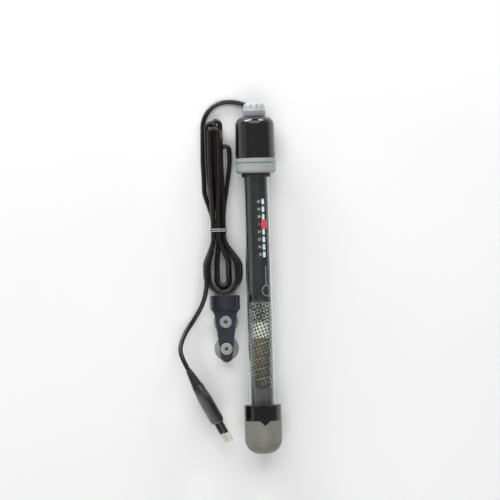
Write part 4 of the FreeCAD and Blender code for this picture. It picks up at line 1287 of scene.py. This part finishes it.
@dataclass
class ScaleSleeve(SubAssembly):
    """The dark sleeve with its windows, its pointer and its printing."""

    wear = {
        "scale_sleeve": Surface.SLEEVE, "scale_backing": Surface.BACKING,
        "temperature_pointer": Surface.POINTER, "lamp_window": Surface.LAMP_WINDOW,
    }

    print_radius: float = 9.535
    window_top: float = 74.1
    window_pitch: float = 6.4
    degrees: tuple[int, ...] = (32, 30, 28, 26, 24, 22, 20, 18)
    red_degrees: int = 26
    digit_angle: float = 9.0
    digit_size: float = 2.8
    digit_swell: float = 0.02
    lamp_at: Pair = (42.4, -1.3)
    lamp_ring: Pair = (4.3, 4.75)
    line_angle: float = 37.0
    line_half: float = 0.2
    line_ends: Pair = (19.4, 3.6)

    def make(self, shop: PaintShop) -> list[Piece]:
        """Print the scale.

        Args:
            shop: Where the finishes come from.

        Returns:
            The numbers, the lamp's ring and the line.
        """
        prints = []
        for row, degrees in enumerate(self.degrees):
            surface = Surface.PRINT_RED if degrees == self.red_degrees else Surface.PRINT
            height = self.window_top - row * self.window_pitch
            prints.append((self.digits(str(degrees), height), surface))
        prints += [(self.ring(), Surface.PRINT_FAINT), (self.line(), Surface.PRINT)]
        return [shop.fit(piece, surface, Slot.WHITE_CARD) for piece, surface in prints]

    def wrapped(self, angle: float, across: float, height: float) -> Vector:
        """Find a point on the print's surface.

        Args:
            angle: Angle from the top towards +X, in degrees.
            across: Distance round the sleeve from there.
            height: Place along the heater.

        Returns:
            The point, in millimetres.
        """
        turn = math.radians(angle) + across / self.print_radius
        return Vector((self.print_radius * math.sin(turn), height,
                       self.print_radius * math.cos(turn)))

    def digits(self, text: str, height: float) -> Piece:
        """Print one number beside its window.

        Args:
            text: The number.
            height: Its place along the heater.

        Returns:
            The print.
        """
        words = bpy.data.curves.new(f"digits_{text}", "FONT")
        words.body = text
        words.size = self.digit_size
        words.align_x = words.align_y = "CENTER"
        words.offset = self.digit_swell
        flat = link(bpy.data.objects.new(f"digits_{text}", words))
        bpy.context.view_layer.update()
        mesh = bmesh.new()
        mesh.from_mesh(bpy.data.meshes.new_from_object(flat))
        bpy.data.objects.remove(flat)
        for vert in mesh.verts:
            vert.co = self.wrapped(self.digit_angle, vert.co.x, height + vert.co.y)
        return piece_from(f"scale_digits_{text}", mesh)

    def ring(self) -> Piece:
        """Print the ring round the pilot lamp's window.

        Returns:
            The print.
        """
        mesh = bmesh.new()
        angle, height = self.lamp_at
        rings = []
        for radius in self.lamp_ring:
            rings.append([mesh.verts.new(self.wrapped(angle, radius * math.cos(a),
                                                      height + radius * math.sin(a)))
                          for a in steps_round(AROUND)])
        join_rings(mesh, rings)
        return piece_from("lamp_ring_print", mesh)

    def line(self) -> Piece:
        """Print the thin line from the scale down to the lamp.

        Returns:
            The print.
        """
        mesh = bmesh.new()
        half, (top, foot) = self.line_half, self.line_ends
        corners = [(-half, foot), (half, foot), (half, top), (-half, top)]
        mesh.faces.new([mesh.verts.new(self.wrapped(self.line_angle, x, y)) for x, y in corners])
        return piece_from("scale_line_print", mesh)


class SwitchGear(SubAssembly):
    """What the sleeve hides: chassis, thermostat, fuse, resistor and pilot lamp."""

    wear = {
        "chassis": Surface.LAMINATE, "spindle_bearing": Surface.BEARING,
        "terminal_block": Surface.TERMINAL, "bimetal_strip": Surface.BLADE,
        "moving_contact": Surface.CONTACT, "blade_rivet": Surface.BEARING,
        "fixed_contact": Surface.CONTACT, "contact_magnet": Surface.MAGNET,
        "thermal_fuse": Surface.FUSE, "lamp_resistor": Surface.RESISTOR,
        "pilot_lamp": Surface.LAMP_GLASS,
    }


@dataclass
class HeatingElement(SubAssembly):
    """The ceramic core, its winding, its leads and the dotted film round them."""

    wear = {
        "element_disc": Surface.DISC, "element_leads": Surface.LEAD_WIRE,
        "element_core": Surface.CERAMIC, "heating_coil": Surface.COIL,
        "dotted_film": Surface.FILM,
    }

    radius: float = 9.88
    top: float = -12.2
    foot: float = -83.4
    wrap: tuple[int, int] = (21, 7)
    dot: float = 0.93
    dot_corners: int = 14

    def make(self, shop: PaintShop) -> list[Piece]:
        """Print the dots on the film."""
        return [shop.fit(self.dots(), Surface.FILM_DOTS, Slot.BLACK_PAD)]

    def dots(self) -> Piece:
        """Print round dots on a square lattice, set askew so that it meets with no seam.

        Returns:
            The print.
        """
        count_i, count_j = self.wrap
        cells = math.hypot(count_i, count_j)
        around = 2 * math.pi * self.radius
        pitch = around / cells
        step_u, step_v = pitch * count_i / cells, pitch * count_j / cells
        middle = (self.top + self.foot) / 2
        reach = int((self.top - self.foot) / pitch) + 2 * count_i
        mesh = bmesh.new()
        for i in range(-reach, reach):
            for j in range(-reach, reach):
                u, v = i * step_u + j * step_v, middle + i * step_v - j * step_u
                if self.foot < v < self.top and -TINY <= u < around - TINY:
                    mesh.faces.new([mesh.verts.new(corner) for corner in self.round_at(u, v)])
        return piece_from("film_dots", mesh)

    def round_at(self, u: float, v: float) -> list[Vector]:
        """Set out a dot's rim, wrapped round the film.

        Args:
            u: The dot's place round the film.
            v: Its place along the heater.

        Returns:
            The rim's points.
        """
        rim = []
        for angle in steps_round(self.dot_corners):
            turn = (u + self.dot * math.cos(angle)) / self.radius
            rim.append(Vector((self.radius * math.sin(turn), v + self.dot * math.sin(angle),
                               self.radius * math.cos(turn))))
        return rim


@dataclass
class EndCap(SubAssembly):
    """The pad at the tube's closed end, the gloss ring and the soft bumper."""

    wear = {"end_ring": Surface.END_RING, "end_bumper": Surface.BUMPER}

    radius: float = 9.85
    top: float = -84.3
    foot: float = -99.0
    edge: tuple[Pair, ...] = ((1.2, 0.0), (0.36, 0.36), (0.0, 1.2))

    def make(self, shop: PaintShop) -> list[Piece]:
        """Make the fibre pad, down to where the ring covers the tube.

        Args:
            shop: Where its finish comes from.

        Returns:
            The pad alone.
        """
        outline = [(0.0, self.top)]
        outline += [(self.radius - inset, self.top - drop) for inset, drop in self.edge]
        outline += [(self.radius - inset, self.foot + rise) for inset, rise in self.edge[::-1]]
        outline.append((0.0, self.foot))
        pad = piece_from("end_pad_fibre", turned(outline), 50.0)
        return [shop.fit(pad, Surface.PAD, Slot.BLACK_PAD, "end_pad")]


@dataclass
class CupHolder(SubAssembly):
    """The holder with its clip and its two suction cups."""

    wear = {"holder_frame": Surface.HOLDER}

    cups_x: float = -29.3
    cups_y: Pair = (-27.2, -50.2)
    skirt: tuple[Pair, ...] = (
        (0.0, 2.4), (5.0, 1.9), (8.2, 0.7), (9.4, 0.0), (10.3, 0.0), (10.5, 0.25), (10.3, 0.6),
        (8.6, 1.7), (6.6, 3.2), (5.2, 4.8), (4.5, 6.2), (4.4, 7.6))
    button: tuple[Pair, ...] = (
        (2.6, 7.6), (2.6, 10.3), (4.7, 10.3), (5.1, 10.6), (5.2, 11.0), (5.0, 11.5), (4.2, 11.9),
        (2.2, 12.1), (1.7, 11.9), (1.5, 11.5), (1.5, 8.6), (0.0, 8.6))

    def make(self, shop: PaintShop) -> list[Piece]:
        """Make both cups, each with its hollow skirt, its stem and its hollow button.

        Args:
            shop: Where their finish comes from.

        Returns:
            The cups, one piece.
        """
        both = bmesh.new()
        for y in self.cups_y:
            cup = turned([*self.skirt, *self.button])
            place = Matrix.Translation((self.cups_x, y, FLOOR))
            bmesh.ops.transform(cup, matrix=place @ Matrix.Rotation(math.pi / 2, 4, "X"),
                                verts=cup.verts)
            data = bpy.data.meshes.new("one_cup")
            cup.to_mesh(data)
            cup.free()
            both.from_mesh(data)
            bpy.data.meshes.remove(data)
        cups = piece_from("suction_cups_moulded", both, SOFT_CREASE)
        return [shop.fit(cups, Surface.CUP, Slot.CUP_RUBBER, "suction_cups")]


def main() -> None:
    """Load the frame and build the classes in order."""
    logging.basicConfig(level=logging.INFO, format="%(name)s: %(message)s")
    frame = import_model()
    nodes = frame["nodes"]
    shop = PaintShop()
    StudioSet().build()
    cord = SupplyCord()
    [line] = cord.build(shop, nodes)
    cord.declare(line, [*Plug().build(shop, nodes), *CordBand().build(shop, nodes)])
    for part in (DialHead(), GlassTube(), ScaleSleeve(), SwitchGear(), HeatingElement(),
                 EndCap(), CupHolder()):
        part.build(shop, nodes)
    bpy.context.view_layer.update()


if __name__ == "__main__":
    main()
